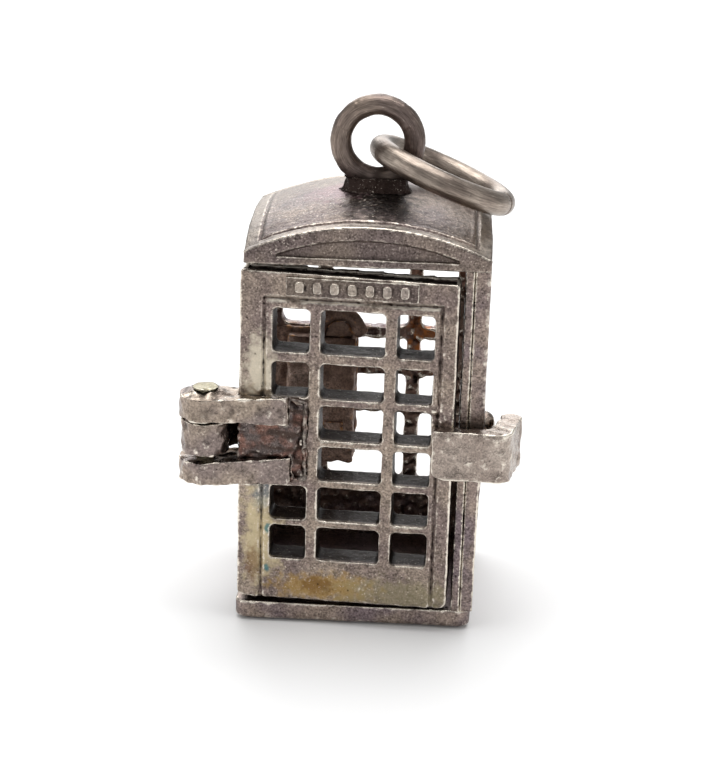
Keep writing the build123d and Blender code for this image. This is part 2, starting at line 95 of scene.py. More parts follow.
def add_node(
    tree: bpy.types.NodeTree,
    kind: str,
    settings: Mapping[str, object] | None = None,
    inputs: Mapping[int | str, object] | None = None,
) -> bpy.types.Node:
    """Add one shader node.

    Args:
        tree: The node tree to add to.
        kind: Blender's name of the node type.
        settings: Properties of the node.
        inputs: Values or output sockets, by the name or number of the input socket.

    Returns:
        The new node.
    """
    node = tree.nodes.new(kind)
    for key, value in (settings or {}).items():
        setattr(node, key, value)
    for key, value in (inputs or {}).items():
        if isinstance(value, bpy.types.NodeSocket):
            tree.links.new(value, node.inputs[key])
        else:
            node.inputs[key].default_value = value
    return node


def box_mm(node: str) -> tuple[np.ndarray, np.ndarray]:
    """Lowest and highest corner of a CAD node, in millimetres.

    Args:
        node: Name of the CAD node.

    Returns:
        The two corners.
    """
    low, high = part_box(node)
    return np.array(low) / MM, np.array(high) / MM


def lumps(points: Points, size: float, seed: int, waves: int = 28) -> np.ndarray:
    """Smooth unevenness made of seeded waves.

    Args:
        points: Places in millimetres, one row each.
        size: Typical width of a lump in millimetres.
        seed: Seed of the waves' directions and phases.
        waves: How many waves are added up.

    Returns:
        One value for each place, mostly between -1 and 1.
    """
    draw = np.random.default_rng(seed)
    direction = draw.normal(size=(waves, 3))
    direction /= np.linalg.norm(direction, axis=1)[:, None]
    pitch = math.pi / size * draw.uniform(0.6, 1.5, waves)
    phase = draw.uniform(0, 2 * math.pi, waves)
    return np.sin(points @ (direction * pitch[:, None]).T + phase).sum(1) / math.sqrt(waves / 2)


def near(values: np.ndarray, middle: float, half: float) -> np.ndarray:
    """A smooth bump: 1 where a value is at the middle, 0 from half away.

    Args:
        values: The values.
        middle: Where the bump is highest.
        half: Half its width.

    Returns:
        One value for each, from 0 to 1.
    """
    share = np.clip(1 - np.abs(values - middle) / half, 0, 1)
    return share * share * (3 - 2 * share)


def rise(values: np.ndarray, low: float, high: float) -> np.ndarray:
    """A smooth step from 0 at the low value to 1 at the high one.

    Args:
        values: The values.
        low: Where the step starts.
        high: Where it ends.

    Returns:
        One value for each, from 0 to 1.
    """
    share = np.clip((values - low) / (high - low), 0, 1)
    return share * share * (3 - 2 * share)


def arris(normals: Points, outward: Sequence[float]) -> np.ndarray:
    """How much a place is on a rounded edge between an outward face and its top or its bottom.

    Args:
        normals: Directions of the surface, one row each.
        outward: The direction that the face looks in.

    Returns:
        One value for each place: up to 1 on a top edge, half as much on a bottom edge.
    """
    turn = 2 * normals[:, 2] * np.clip(normals @ np.array(outward), 0, 1)
    return rise(turn, 0.45, 0.95) + 0.5 * rise(-turn, 0.55, 0.98)


def within(points: Points, centre: Sequence[float], reach: Sequence[float]) -> np.ndarray:
    """A smooth ellipsoid: 1 at its centre and 0 outside it.

    Args:
        points: Places in millimetres, one row each.
        centre: The ellipsoid's centre.
        reach: Its half-sizes along X, Y and Z.

    Returns:
        One value for each place, from 0 to 1.
    """
    far = np.linalg.norm((points - np.array(centre)) / np.array(reach), axis=1)
    share = np.clip(1 - far, 0, 1)
    return share * share * (3 - 2 * share)


# ---------------------------------------------------------------- casting
@dataclass(frozen=True)
class Casting:
    """How fine, soft and uneven a piece came out of its mould and its years of wear, in millimetres.

    Attributes:
        grain: Size of the mesh's facets.
        rounding: How often the surface is smoothed, which rounds its edges.
        swell: Height of the broad unevenness.
        swell_size: Width of the broad unevenness.
        ripple: Height of the fine unevenness.
        ripple_size: Width of the fine unevenness.
    """

    grain: float = 0.055
    rounding: int = 3
    swell: float = 0.05
    swell_size: float = 1.3
    ripple: float = 0.018
    ripple_size: float = 0.22


@dataclass(frozen=True)
class Seam:
    """A soldered joint where a piece runs flush into its neighbour.

    Attributes:
        axis: 0, 1 or 2 for X, Y or Z.
        place: Where the joint lies on that axis, in millimetres.
        side: 1 if the neighbour lies on the higher side, -1 if on the lower.
    """

    axis: int
    place: float
    side: int


class Foundry:
    """Turns the plain CAD pieces into cast, worn ones, and hands them to their bodies."""

    OVERRUN = 0.30        # how far a piece runs on past a seam before it is trimmed, in millimetres
    EDGE_PASSES = 2       # smoothing passes that tell an edge
    HOLLOW_PASSES = 26    # smoothing passes that tell a broad hollow
    STAND_SHARE = 0.17    # share of a facet's size that counts as standing out fully
    BOX_GAP = 1e-5        # how far inside the whole object's box a piece is kept, in millimetres

    def _plain_copy(self, nodes: Sequence[str], seams: Sequence[Seam]) -> bmesh.types.BMesh:
        """Copy nodes into one merged mesh in millimetres, run on past their seams.

        Args:
            nodes: Names of the CAD nodes.
            seams: Their seams.

        Returns:
            The merged mesh.
        """
        shape = bmesh.new()
        for node in nodes:
            shape.from_mesh(frame["nodes"][node].data)
        bmesh.ops.scale(shape, vec=(1 / MM,) * 3, verts=shape.verts)
        bmesh.ops.remove_doubles(shape, verts=shape.verts, dist=1e-4)
        for seam in seams:
            for vert in shape.verts:
                if abs(vert.co[seam.axis] - seam.place) < 1e-3:
                    vert.co[seam.axis] += seam.side * self.OVERRUN
        return shape

    def _recast(self, name: str, shape: bmesh.types.BMesh, casting: Casting) -> bpy.types.Mesh:
        """Give a plain mesh an even skin, round edges and an uneven surface.

        Args:
            name: Name of the piece.
            shape: The plain mesh in millimetres, which is freed.
            casting: How it came out.

        Returns:
            The new mesh, in millimetres.
        """
        plain = bpy.data.meshes.new(f"{name}_plain")
        shape.to_mesh(plain)
        shape.free()
        rough = bpy.data.objects.new(f"{name}_rough", plain)
        bpy.context.scene.collection.objects.link(rough)
        remesh = rough.modifiers.new("skin", "REMESH")
        remesh.mode = "VOXEL"
        remesh.voxel_size = casting.grain
        remesh.adaptivity = 0.0
        smooth = rough.modifiers.new("wear", "SMOOTH")
        smooth.factor = 0.5
        smooth.iterations = casting.rounding
        for label, height, width in (
            ("swell", casting.swell, casting.swell_size),
            ("ripple", casting.ripple, casting.ripple_size),
        ):
            if height:
                cloud = bpy.data.textures.new(f"{name}_{label}", "CLOUDS")
                cloud.noise_scale = width
                cloud.noise_depth = 2
                displace = rough.modifiers.new(label, "DISPLACE")
                displace.texture = cloud
                displace.texture_coords = "LOCAL"
                displace.strength = height
                displace.mid_level = 0.6
        graph = bpy.context.evaluated_depsgraph_get()
        mesh = bpy.data.meshes.new_from_object(rough.evaluated_get(graph))
        mesh.name = name
        bpy.data.objects.remove(rough)
        bpy.data.meshes.remove(plain)
        return mesh

    @staticmethod
    def _relax(values: np.ndarray, edges: np.ndarray, passes: int) -> np.ndarray:
        """Average each vertex's values with its neighbours', again and again.

        Args:
            values: One row for each vertex.
            edges: The two vertices of each edge.
            passes: How often they are averaged.

        Returns:
            The averaged rows.
        """
        count = len(values)
        degree = np.bincount(edges.ravel(), minlength=count)[:, None].clip(1)
        for _ in range(passes):
            total = np.empty_like(values)
            for column in range(values.shape[1]):
                total[:, column] = np.bincount(edges[:, 0], values[edges[:, 1], column], count)
                total[:, column] += np.bincount(edges[:, 1], values[edges[:, 0], column], count)
            values = total / degree
        return values

    def _mark_wear(self, mesh: bpy.types.Mesh, grain: float) -> None:
        """Store how much each place stands out, for rubbed edges, and lies back, for dirt.

        The attribute "edge" is fine and "hollow" is broad. Both are positive where the surface stands out.

        Args:
            mesh: The mesh, in millimetres.
            grain: Size of its facets.
        """
        places, normals = self._skin(mesh)
        edges = np.empty(len(mesh.edges) * 2, np.int32)
        mesh.edges.foreach_get("vertices", edges)
        edges = edges.reshape(-1, 2)
        soft = places
        for label, passes in (("edge", self.EDGE_PASSES), ("hollow", self.HOLLOW_PASSES)):
            soft = self._relax(soft, edges, passes)
            stand = ((places - soft) * normals).sum(1) / (grain * math.sqrt(passes) * self.STAND_SHARE)
            layer = mesh.attributes.new(label, "FLOAT", "POINT")
            layer.data.foreach_set("value", np.clip(stand, -1, 1).astype(np.float32))

    @staticmethod
    def _skin(mesh: bpy.types.Mesh) -> tuple[Points, Points]:
        """The places and normals of a mesh's vertices.

        Args:
            mesh: The mesh.

        Returns:
            Places and normals.
        """
        places = np.empty(len(mesh.vertices) * 3, np.float32)
        normals = np.empty(len(mesh.vertices) * 3, np.float32)
        mesh.vertices.foreach_get("co", places)
        mesh.vertices.foreach_get("normal", normals)
        return places.reshape(-1, 3).astype(float), normals.reshape(-1, 3).astype(float)

    def _sculpt(self, mesh: bpy.types.Mesh, sculpt: Field) -> None:
        """Push each vertex along its normal by what the sculpt function says, in millimetres.

        Args:
            mesh: The mesh, in millimetres.
            sculpt: Gives the push at each vertex.
        """
        places, normals = self._skin(mesh)
        places += normals * sculpt(places, normals)[:, None]
        mesh.vertices.foreach_set("co", places.astype(np.float32).ravel())
        mesh.update()

    def _keep_in_box(self, mesh: bpy.types.Mesh) -> None:
        """Pull whatever swelled past the whole object's box back to it.

        Args:
            mesh: The mesh, in millimetres.
        """
        low, high = (np.array(corner) / MM for corner in CAD_BOX)
        places, _ = self._skin(mesh)
        kept = np.clip(places, low + self.BOX_GAP, high - self.BOX_GAP)
        mesh.vertices.foreach_set("co", kept.astype(np.float32).ravel())
        mesh.update()

    def _mark_tone(self, mesh: bpy.types.Mesh, tone: Field) -> None:
        """Store "tone": up to 1 for painted shade, soot and dirt, down to -1 for painted highlights and rubbed
        metal.

        Args:
            mesh: The mesh, in millimetres.
            tone: Gives the value at each vertex.
        """
        layer = mesh.attributes.new("tone", "FLOAT", "POINT")
        layer.data.foreach_set("value", np.clip(tone(*self._skin(mesh)), -1, 1).astype(np.float32))

    @staticmethod
    def _trim(mesh: bpy.types.Mesh, seams: Sequence[Seam]) -> None:
        """Cut a mesh off flat at its seams and close the cuts.

        Args:
            mesh: The mesh, in millimetres.
            seams: Where it is cut.
        """
        shape = bmesh.new()
        shape.from_mesh(mesh)
        for seam in seams:
            normal = Vector((0, 0, 0))
            normal[seam.axis] = seam.side
            cut = bmesh.ops.bisect_plane(
                shape,
                geom=[*shape.verts, *shape.edges, *shape.faces],
                plane_co=normal * seam.side * seam.place,
                plane_no=normal,
                clear_outer=True,
            )
            rim = [e for e in cut["geom_cut"] if isinstance(e, bmesh.types.BMEdge) and e.is_boundary]
            bmesh.ops.holes_fill(shape, edges=rim, sides=0)
            for edge in rim:
                edge.smooth = False
        shape.to_mesh(mesh)
        shape.free()

    def cast(
        self,
        name: str,
        nodes: Sequence[str],
        casting: Casting,
        seams: Sequence[Seam] = (),
        sculpt: Field | None = None,
        tone: Field | None = None,
    ) -> bpy.types.Object:
        """Make the worn piece that stands for one or more CAD nodes of one body.

        Args:
            name: Name of the piece.
            nodes: The CAD nodes that it stands for.
            casting: How fine, soft and uneven it is.
            seams: Joints where it runs flush into a neighbour.
            sculpt: Gives the push along the normal in millimetres, from places and normals.
            tone: Gives painted shade, soot and dirt, up to 1, and painted highlights and rubbed metal, down to -1,
                from places and normals.

        Returns:
            The finished object, riding on its body.
        """
        shape = self._plain_copy(nodes, seams)
        mesh = self._recast(name, shape, casting)
        if sculpt is not None:
            self._sculpt(mesh, sculpt)
        self._keep_in_box(mesh)
        self._mark_wear(mesh, casting.grain)
        if tone is not None:
            self._mark_tone(mesh, tone)
        if seams:
            self._trim(mesh, seams)
        mesh.transform(Matrix.Scale(MM, 4))
        mesh.shade_smooth()
        return self.hand_over(name, mesh, nodes)

    @staticmethod
    def hand_over(name: str, mesh: bpy.types.Mesh, nodes: Sequence[str]) -> bpy.types.Object:
        """Make an object of a finished mesh, and let it stand for its CAD nodes.

        Args:
            name: Name of the piece.
            mesh: Its mesh, in metres.
            nodes: The CAD nodes that it stands for.

        Returns:
            The object.
        """
        piece = bpy.data.objects.new(name, mesh)
        bpy.context.scene.collection.objects.link(piece)
        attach(piece, BODY_OF[nodes[0]])
        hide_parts(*nodes)
        LOG.info("%s: %d faces, on %s", name, len(mesh.polygons), BODY_OF[nodes[0]])
        return piece


# ---------------------------------------------------------------- finishes
class Lay(Enum):
    """Which way the fine marks of a finish run."""

    EVEN = "even"
    DRAWN = "drawn"


@dataclass(frozen=True)
class Stain:
    """A coloured patch of tarnish, in millimetres.

    Attributes:
        tint: Its colour.
        centre: Its middle.
        reach: Its half-sizes along X, Y and Z.
        strength: How much of the colour shows at most.
        patch: Width of the blotches that it breaks up into.
    """

    tint: str
    centre: tuple[float, float, float]
    reach: tuple[float, float, float]
    strength: float = 0.8
    patch: float = 0.6


@dataclass(frozen=True)
class SilverFinish:
    """Sterling silver with a sulphide skin, rubbed back to bright metal where hands reach it.

    Attributes:
        name: Name of the finish.
        body: Usual colour of the skin.
        shade: Second colour, in clouds.
        grime: Colour in the hollows.
        deep: Colour of the painted shade in recesses and on inner faces, and of soot and dirt.
        worn: Colour of rubbed edges, and of the painted highlights along top edges.
        fleck: Colour of the small bright scratches and grains.
        cloud_mm: Width of the clouds of colour.
        mottle_mm: Width of the mottling.
        pit_mm: Spacing of the casting pits.
        pit_share: Share of the places that have a pit.
        fleck_share: How many bright flecks there are, from 0 to 1.
        contrast: How strong the mottling is.
        wear_from: Edge value where rubbing starts.
        wear_full: Edge value where the metal is bright.
        dirt_from: Hollow value where dirt starts, counted downwards.
        dirt_full: Hollow value where it is full.
        rough: Roughness of the skin.
        rough_worn: Roughness of the rubbed metal.
        relief_mm: Height of the fine relief.
        lay: Which way the fine marks run.
        stains: Coloured patches.
    """

    name: str
    body: str = "#8f8076"
    shade: str = "#75686a"
    grime: str = "#1d1512"
    deep: str = "#4a3b34"
    worn: str = "#e6ddcf"
    fleck: str = "#d8cfc0"
    cloud_mm: float = 2.2
    mottle_mm: float = 0.26
    pit_mm: float = 0.30
    pit_share: float = 0.35
    fleck_share: float = 0.25
    contrast: float = 0.55
    wear_from: float = 0.35
    wear_full: float = 1.0
    dirt_from: float = 0.3
    dirt_full: float = 1.2
    rough: float = 0.33
    rough_worn: float = 0.20
    relief_mm: float = 0.028
    lay: Lay = Lay.EVEN
    stains: tuple[Stain, ...] = ()

    def _places(self, tree: bpy.types.NodeTree) -> tuple[bpy.types.NodeSocket, bpy.types.NodeSocket]:
        """Places in millimetres: of the object itself, and as the fine marks see them.

        Args:
            tree: The material's node tree.

        Returns:
            The two sockets.
        """
        coords = add_node(tree, "ShaderNodeTexCoord")
        place = add_node(
            tree, "ShaderNodeMapping", None, {"Vector": coords.outputs["Object"], "Scale": (1 / MM,) * 3}
        ).outputs["Vector"]
        if self.lay is Lay.EVEN:
            return place, place
        draw = add_node(tree, "ShaderNodeAttribute", {"attribute_name": "draw"})
        marks = add_node(
            tree, "ShaderNodeMapping", None, {"Vector": draw.outputs["Vector"], "Scale": (0.16, 1.6, 1.0)}
        )
        return place, marks.outputs["Vector"]

    def _stained(
        self, tree: bpy.types.NodeTree, place: bpy.types.NodeSocket, base: bpy.types.NodeSocket
    ) -> bpy.types.NodeSocket:
        """Lay the coloured patches over a base colour.

        Args:
            tree: The material's node tree.
            place: Places in millimetres.
            base: The colour under the patches.

        Returns:
            The stained colour.
        """
        for number, stain in enumerate(self.stains):
            apart = add_node(
                tree, "ShaderNodeVectorMath", {"operation": "SUBTRACT"}, {0: place, 1: stain.centre}
            )
            scaled = add_node(
                tree, "ShaderNodeVectorMath", {"operation": "DIVIDE"}, {0: apart.outputs[0], 1: stain.reach}
            )
            far = add_node(tree, "ShaderNodeVectorMath", {"operation": "LENGTH"}, {0: scaled.outputs[0]})
            blotch = add_node(
                tree,
                "ShaderNodeTexNoise",
                {"noise_dimensions": "4D"},
                {"Vector": place, "W": number * 3.7, "Scale": 1 / stain.patch, "Detail": 3.0},
            )
            torn = add_node(
                tree,
                "ShaderNodeMath",
                {"operation": "MULTIPLY_ADD"},
                {0: blotch.outputs["Fac"], 1: -1.7, 2: far.outputs["Value"]},
            )
            mask = add_node(
                tree,
                "ShaderNodeMapRange",
                {"interpolation_type": "SMOOTHSTEP"},
                {0: torn.outputs[0], 1: -0.45, 2: 0.2, 3: stain.strength, 4: 0.0},
            )
            base = add_node(
                tree,
                "ShaderNodeMix",
                {"data_type": "RGBA"},
                {0: mask.outputs[0], 6: base, 7: colour(stain.tint)},
            ).outputs[2]
        return base

    def make(self) -> bpy.types.Material:
        """Build the material.

        Returns:
            The material, ready to be put in a piece's slot.
        """
        material = bpy.data.materials.new(self.name)
        material.use_nodes = True
        tree = material.node_tree
        shader = tree.nodes["Principled BSDF"]
        place, marks = self._places(tree)

        edge = add_node(tree, "ShaderNodeAttribute", {"attribute_name": "edge"}).outputs["Fac"]
        hollow = add_node(tree, "ShaderNodeAttribute", {"attribute_name": "hollow"}).outputs["Fac"]
        cloud = add_node(
            tree, "ShaderNodeTexNoise", None, {"Vector": place, "Scale": 1 / self.cloud_mm, "Detail": 4.0}
        ).outputs["Fac"]
        mottle = add_node(
            tree,
            "ShaderNodeTexNoise",
            None,
            {"Vector": marks, "Scale": 1 / self.mottle_mm, "Detail": 7.0, "Roughness": 0.68},
        ).outputs["Fac"]
        fine = add_node(
            tree,
            "ShaderNodeTexNoise",
            None,
            {"Vector": marks, "Scale": 3.3 / self.mottle_mm, "Detail": 3.0, "Roughness": 0.6},
        ).outputs["Fac"]
        cell = add_node(
            tree, "ShaderNodeTexVoronoi", None, {"Vector": place, "Scale": 1 / self.pit_mm, "Randomness": 1.0}
        )

        # the sulphide skin: two browns in clouds, mottled lighter and darker
        clouded = add_node(
            tree, "ShaderNodeMapRange", {"interpolation_type": "SMOOTHSTEP"}, {0: cloud, 1: 0.38, 2: 0.62}
        )
        skin = add_node(
            tree,
            "ShaderNodeMix",
            {"data_type": "RGBA"},
            {0: clouded.outputs[0], 6: colour(self.body), 7: colour(self.shade)},
        )
        grainy = add_node(
            tree, "ShaderNodeMix", {"data_type": "FLOAT"}, {0: 0.6, 2: mottle, 3: fine}
        ).outputs[0]
        depth = add_node(
            tree,
            "ShaderNodeMapRange",
            None,
            {0: grainy, 1: 0.39, 2: 0.61, 3: 1 - self.contrast, 4: 1 + self.contrast},
        )
        mottled = add_node(
            tree, "ShaderNodeVectorMath", {"operation": "SCALE"}, {0: skin.outputs[2], 3: depth.outputs[0]}
        )
        # painted shade in recesses and on inner faces, with soot and dirt; painted highlights along top edges,
        # with metal kept bright by handling
        tone = add_node(tree, "ShaderNodeAttribute", {"attribute_name": "tone"}).outputs["Fac"]
        highlight_and_rub = add_node(
            tree, "ShaderNodeMath", {"operation": "MULTIPLY", "use_clamp": True}, {0: tone, 1: -1.0}
        )
        broken = add_node(
            tree,
            "ShaderNodeMapRange",
            {"interpolation_type": "SMOOTHSTEP"},
            {0: mottle, 1: 0.3, 2: 0.6, 3: 0.35, 4: 1.0},
        )
        highlight_and_bare = add_node(
            tree, "ShaderNodeMath", {"operation": "MULTIPLY"}, {0: highlight_and_rub.outputs[0], 1: broken.outputs[0]}
        )
        shade_and_soot = add_node(
            tree, "ShaderNodeMath", {"operation": "MULTIPLY", "use_clamp": True}, {0: tone, 1: 0.95}
        )

        # thick sulphide is no longer metallic, so soot, dirt and the painted shade are made less metallic and stay
        # dark at grazing light
        bare = add_node(
            tree, "ShaderNodeMath", {"operation": "MULTIPLY_ADD"}, {0: shade_and_soot.outputs[0], 1: -0.85, 2: 1.0}
        )
        tree.links.new(bare.outputs[0], shader.inputs["Metallic"])
        matt = add_node(
            tree, "ShaderNodeMath", {"operation": "MULTIPLY_ADD"}, {0: shade_and_soot.outputs[0], 1: -0.46, 2: 0.5}
        )
        tree.links.new(matt.outputs[0], shader.inputs["Specular IOR Level"])

        # bright grains and scratches where the skin has rubbed through
        flecks = add_node(
            tree,
            "ShaderNodeMapRange",
            {"interpolation_type": "SMOOTHSTEP"},
            {0: fine, 1: 0.72 - 0.2 * self.fleck_share, 2: 0.80 - 0.2 * self.fleck_share},
        )

        # casting pits, dark inside
        pit_here = add_node(
            tree,
            "ShaderNodeMath",
            {"operation": "LESS_THAN"},
            {0: add_node(tree, "ShaderNodeSeparateColor", None, {0: cell.outputs["Color"]}).outputs[0],
             1: self.pit_share},
        )
        ragged = add_node(
            tree,
            "ShaderNodeMath",
            {"operation": "MULTIPLY_ADD"},
            {0: fine, 1: 0.5, 2: cell.outputs["Distance"]},
        )
        pit_round = add_node(
            tree,
            "ShaderNodeMapRange",
            {"interpolation_type": "SMOOTHSTEP"},
            {0: ragged.outputs[0], 1: 0.28, 2: 0.42, 3: 0.65, 4: 0.0},
        )
        pits = add_node(
            tree,
            "ShaderNodeMath",
            {"operation": "MULTIPLY"},
            {0: pit_here.outputs[0], 1: pit_round.outputs[0]},
        )

        # dirt in the hollows, its border broken by the mottling
        lifted = add_node(
            tree, "ShaderNodeMath", {"operation": "MULTIPLY_ADD"}, {0: mottle, 1: 2.0, 2: -1.0}
        ).outputs[0]
        sunk = add_node(tree, "ShaderNodeMath", {"operation": "SUBTRACT"}, {0: lifted, 1: hollow})
        dirt = add_node(
            tree,
            "ShaderNodeMapRange",
            {"interpolation_type": "SMOOTHSTEP"},
            {0: sunk.outputs[0], 1: self.dirt_from, 2: self.dirt_full},
        )

        # edges rubbed bright
        raised = add_node(tree, "ShaderNodeMath", {"operation": "ADD"}, {0: lifted, 1: edge})
        rubbed = add_node(
            tree,
            "ShaderNodeMapRange",
            {"interpolation_type": "SMOOTHSTEP"},
            {0: raised.outputs[0], 1: self.wear_from, 2: self.wear_full},
        )

        # the coats, laid one over the other
        base = self._stained(tree, place, mottled.outputs[0])
        coats = (
            # painted highlights with rubbed metal, then painted shade with soot and dirt
            (highlight_and_bare, self.worn),
            (shade_and_soot, self.deep),
            (flecks, self.fleck),
            (pits, self.grime),
            (dirt, self.grime),
            (rubbed, self.worn),
        )
        for mask, tint in coats:
            base = add_node(
                tree, "ShaderNodeMix", {"data_type": "RGBA"}, {0: mask.outputs[0], 6: base, 7: colour(tint)}
            ).outputs[2]
        tree.links.new(base, shader.inputs["Base Color"])

        # rubbed metal is smoother than the skin

        gloss = add_node(
            tree,
            "ShaderNodeMapRange",
            None,
            {0: rubbed.outputs[0], 1: 0.0, 2: 1.0, 3: self.rough, 4: self.rough_worn},
        )
        uneven = add_node(
            tree, "ShaderNodeMath", {"operation": "MULTIPLY_ADD"}, {0: mottle, 1: 0.24, 2: gloss.outputs[0]}
        )
        evened = add_node(
            tree,
            "ShaderNodeMath",
            {"operation": "SUBTRACT", "use_clamp": True},
            {0: uneven.outputs[0], 1: 0.12},
        )
        tree.links.new(evened.outputs[0], shader.inputs["Roughness"])

        # fine relief, sunk in the pits
        height = add_node(
            tree, "ShaderNodeMath", {"operation": "MULTIPLY_ADD"}, {0: fine, 1: 0.35, 2: mottle}
        )
        sunken = add_node(
            tree,
            "ShaderNodeMath",
            {"operation": "MULTIPLY_ADD"},
            {0: pits.outputs[0], 1: -0.8, 2: height.outputs[0]},
        )
        bump = add_node(
            tree,
            "ShaderNodeBump",
            None,
            {"Strength": 1.0, "Distance": self.relief_mm * MM, "Height": sunken.outputs[0]},
        )
        tree.links.new(bump.outputs["Normal"], shader.inputs["Normal"])
        return material


# ---------------------------------------------------------------- booth
@dataclass
class Booth:
    """The box of the booth: sole, plinth, three walls and the jamb, soldered up.

    Attributes:
        foundry: Makes the worn pieces.
        wall: How the side walls came out.
        back: How the back wall came out, lumpier than the others.
        base: How the plinth came out.
        sole: How the sole plate was cut.
        jamb: How the jamb came out.
    """

    TAPER_TOP_Z = 7.0
    TAPER_HEIGHT = 6.0
    TAPER = 0.2
    SAGGING_BAR_Z = 9.86

    foundry: Foundry
    wall: Casting = Casting(grain=0.058, rounding=3, swell=0.05, swell_size=1.2)
    back: Casting = Casting(grain=0.06, rounding=7, swell=0.12, swell_size=0.7, ripple=0.05, ripple_size=0.25)
    base: Casting = Casting(grain=0.055, rounding=5, swell=0.06)
    sole: Casting = Casting(grain=0.05, rounding=1, swell=0.0, ripple=0.01)
    jamb: Casting = Casting(grain=0.045, ripple=0.03)

    def __post_init__(self) -> None:
        """Work out the seams from the frame."""
        self.floor_z = box_mm("plinth")[1][2]
        self.head_z = box_mm("right_wall")[1][2]
        self.back_y = box_mm("back_wall")[0][1]
        self.bead = (box_mm("latch_bead")[0] + box_mm("latch_bead")[1]) / 2
        self.low, self.high = box_mm("back_wall")
        self.low[1] = box_mm("right_wall")[0][1]

    def _between(self) -> tuple[Seam, Seam]:
        """The seams at a wall's foot and head."""
        return Seam(2, self.floor_z, -1), Seam(2, self.head_z, 1)

    def _solder_round_bead(self, places: Points, normals: Points) -> np.ndarray:
        """Lumpy solder on the wall round the latch bead, and a slight taper towards the wall's foot."""
        patch = within(places, self.bead, (1.0, 0.95, 1.15))
        lower = np.clip((self.TAPER_TOP_Z - places[:, 2]) / self.TAPER_HEIGHT, 0, 1)
        outer = np.clip(normals[:, 0], 0, 1) * (places[:, 0] > self.high[0] - 0.1)
        return patch * (0.05 + 0.03 * lumps(places, 0.2, 11)) - self.TAPER * lower * outer

    def _inner_shade(self, places: Points, normals: Points) -> np.ndarray:
        """Painted shade on the booth's inner faces and reveals, growing with how far a place lies behind the outer
        faces.
        """
        flat = places[:, :2]
        return rise(np.minimum(flat - self.low[:2], self.high[:2] - flat).min(1), 0.10, 0.34)

    def _back_bars(self, places: Points, normals: Points) -> np.ndarray:
        """Thick, lumpy bars on the inside of the back wall."""
        inside = np.clip(-normals[:, 1], 0, 1) * rise(places[:, 2], 4.0, 6.0)
        sagging = near(places[:, 2], self.SAGGING_BAR_Z, 0.22) * np.clip(-normals[:, 2], 0, 1)
        return 0.03 * inside * lumps(places, 0.32, 5) + 0.012 * lumps(places, 0.2, 6) + 0.12 * sagging

    def build(self) -> list[bpy.types.Object]:
        """Make the pieces.

        Returns:
            The finished objects.
        """
        make = self.foundry.cast
        foot, head = self._between()
        rear = Seam(1, self.back_y, 1)
        return [
            make("plinth_cast", ["plinth"], self.base),
            make("sole_cut_plate", ["sole_plate"], self.sole),
            make("back_wall_cast", ["back_wall"], self.back, (foot, head), self._back_bars),
            make("left_wall_cast", ["left_wall"], self.wall, (foot, head, rear), None, self._inner_shade),
            make("right_wall_cast", ["right_wall"], self.wall, (foot, head, rear), self._solder_round_bead,
                 self._inner_shade),
            make("right_jamb_cast", ["right_jamb"], self.jamb, (foot, head), None, self._inner_shade),
        ]

    def dress(self, pieces: Sequence[bpy.types.Object], outside: bpy.types.Material,
              inside: bpy.types.Material) -> None:
        """Give the pieces their finishes.

        Args:
            pieces: What build() made.
            outside: Finish of the outer pieces.
            inside: Finish of the back wall.
        """
        for piece in pieces:
            piece.data.materials.append(inside if piece.name.startswith("back_wall") else outside)


@dataclass
class Roof:
    """The arched roof with its lunettes, its incised border and the solder under the loop.

    Attributes:
        foundry: Makes the worn piece.
        inset: From the roof's edge to the border line, in millimetres.
        line: Half-width of the line.
        depth: Depth of the line.
        rim: Height of the bead along the front and back arches.
    """

    foundry: Foundry
    inset: float = 0.58
    line: float = 0.085
    depth: float = 0.085
    rim: float = 0.07

    def __post_init__(self) -> None:
        """Read the roof's size and the loop's place from the frame."""
        self.low, self.high = box_mm("roof")
        bail_low, bail_high = box_mm("bail_solder")
        self.loop = (bail_low + bail_high) / 2

    def _carve(self, places: Points, normals: Points) -> np.ndarray:
        """Border line, raised rims and solder lumps."""
        up = np.clip(normals[:, 2] * 3 - 1.2, 0, 1)
        from_side = np.minimum(places[:, 0] - self.low[0], self.high[0] - places[:, 0])
        from_end = np.minimum(places[:, 1] - self.low[1], self.high[1] - places[:, 1])
        from_edge = np.minimum(from_side, from_end)
        groove = -self.depth * near(from_edge, self.inset, self.line)
        lip = 0.015 * near(from_edge, self.inset + 0.16, 0.14)
        rim = self.rim * near(from_end, 0.10, 0.24)
        puddle = within(places, (self.loop[0] + 0.1, -1.35, self.loop[2]), (1.9, 2.6, 1.6))
        solder = puddle * (0.04 + 0.022 * np.clip(lumps(places, 0.14, 21), -1, 1.2))
        return up * (groove + lip + rim + solder)

    def _tone(self, places: Points, normals: Points) -> np.ndarray:
        """Bright margins on top, a dark border line, and painted shade in the lunettes and on the underside."""
        up = rise(normals[:, 2], 0.5, 0.9)
        from_side = np.minimum(places[:, 0] - self.low[0], self.high[0] - places[:, 0])
        from_end = np.minimum(places[:, 1] - self.low[1], self.high[1] - places[:, 1])
        from_edge = np.minimum(from_side, from_end)
        margin = rise(self.inset - from_edge, 0.0, 0.12)
        line = near(from_edge, self.inset, self.line)
        recess = rise(from_end, 0.07, 0.15) * rise(-normals[:, 1], 0.6, 0.9)
        # painted shade on the lunettes' recess and on every face that looks down
        return up * (0.75 * line - 0.3 * margin) + 0.2 * recess + rise(-normals[:, 2], 0.5, 0.9)

    def build(self) -> bpy.types.Object:
        """Make the roof."""
        casting = Casting(grain=0.055, rounding=3, swell=0.07, swell_size=1.8)
        return self.foundry.cast("roof_cast", ["roof"], casting, (), self._carve, self._tone)

    def dress(self, piece: bpy.types.Object, finish: bpy.types.Material) -> None:
        """Give the roof its finish.

        Args:
            piece: What build() made.
            finish: Its finish.
        """
        piece.data.materials.append(finish)


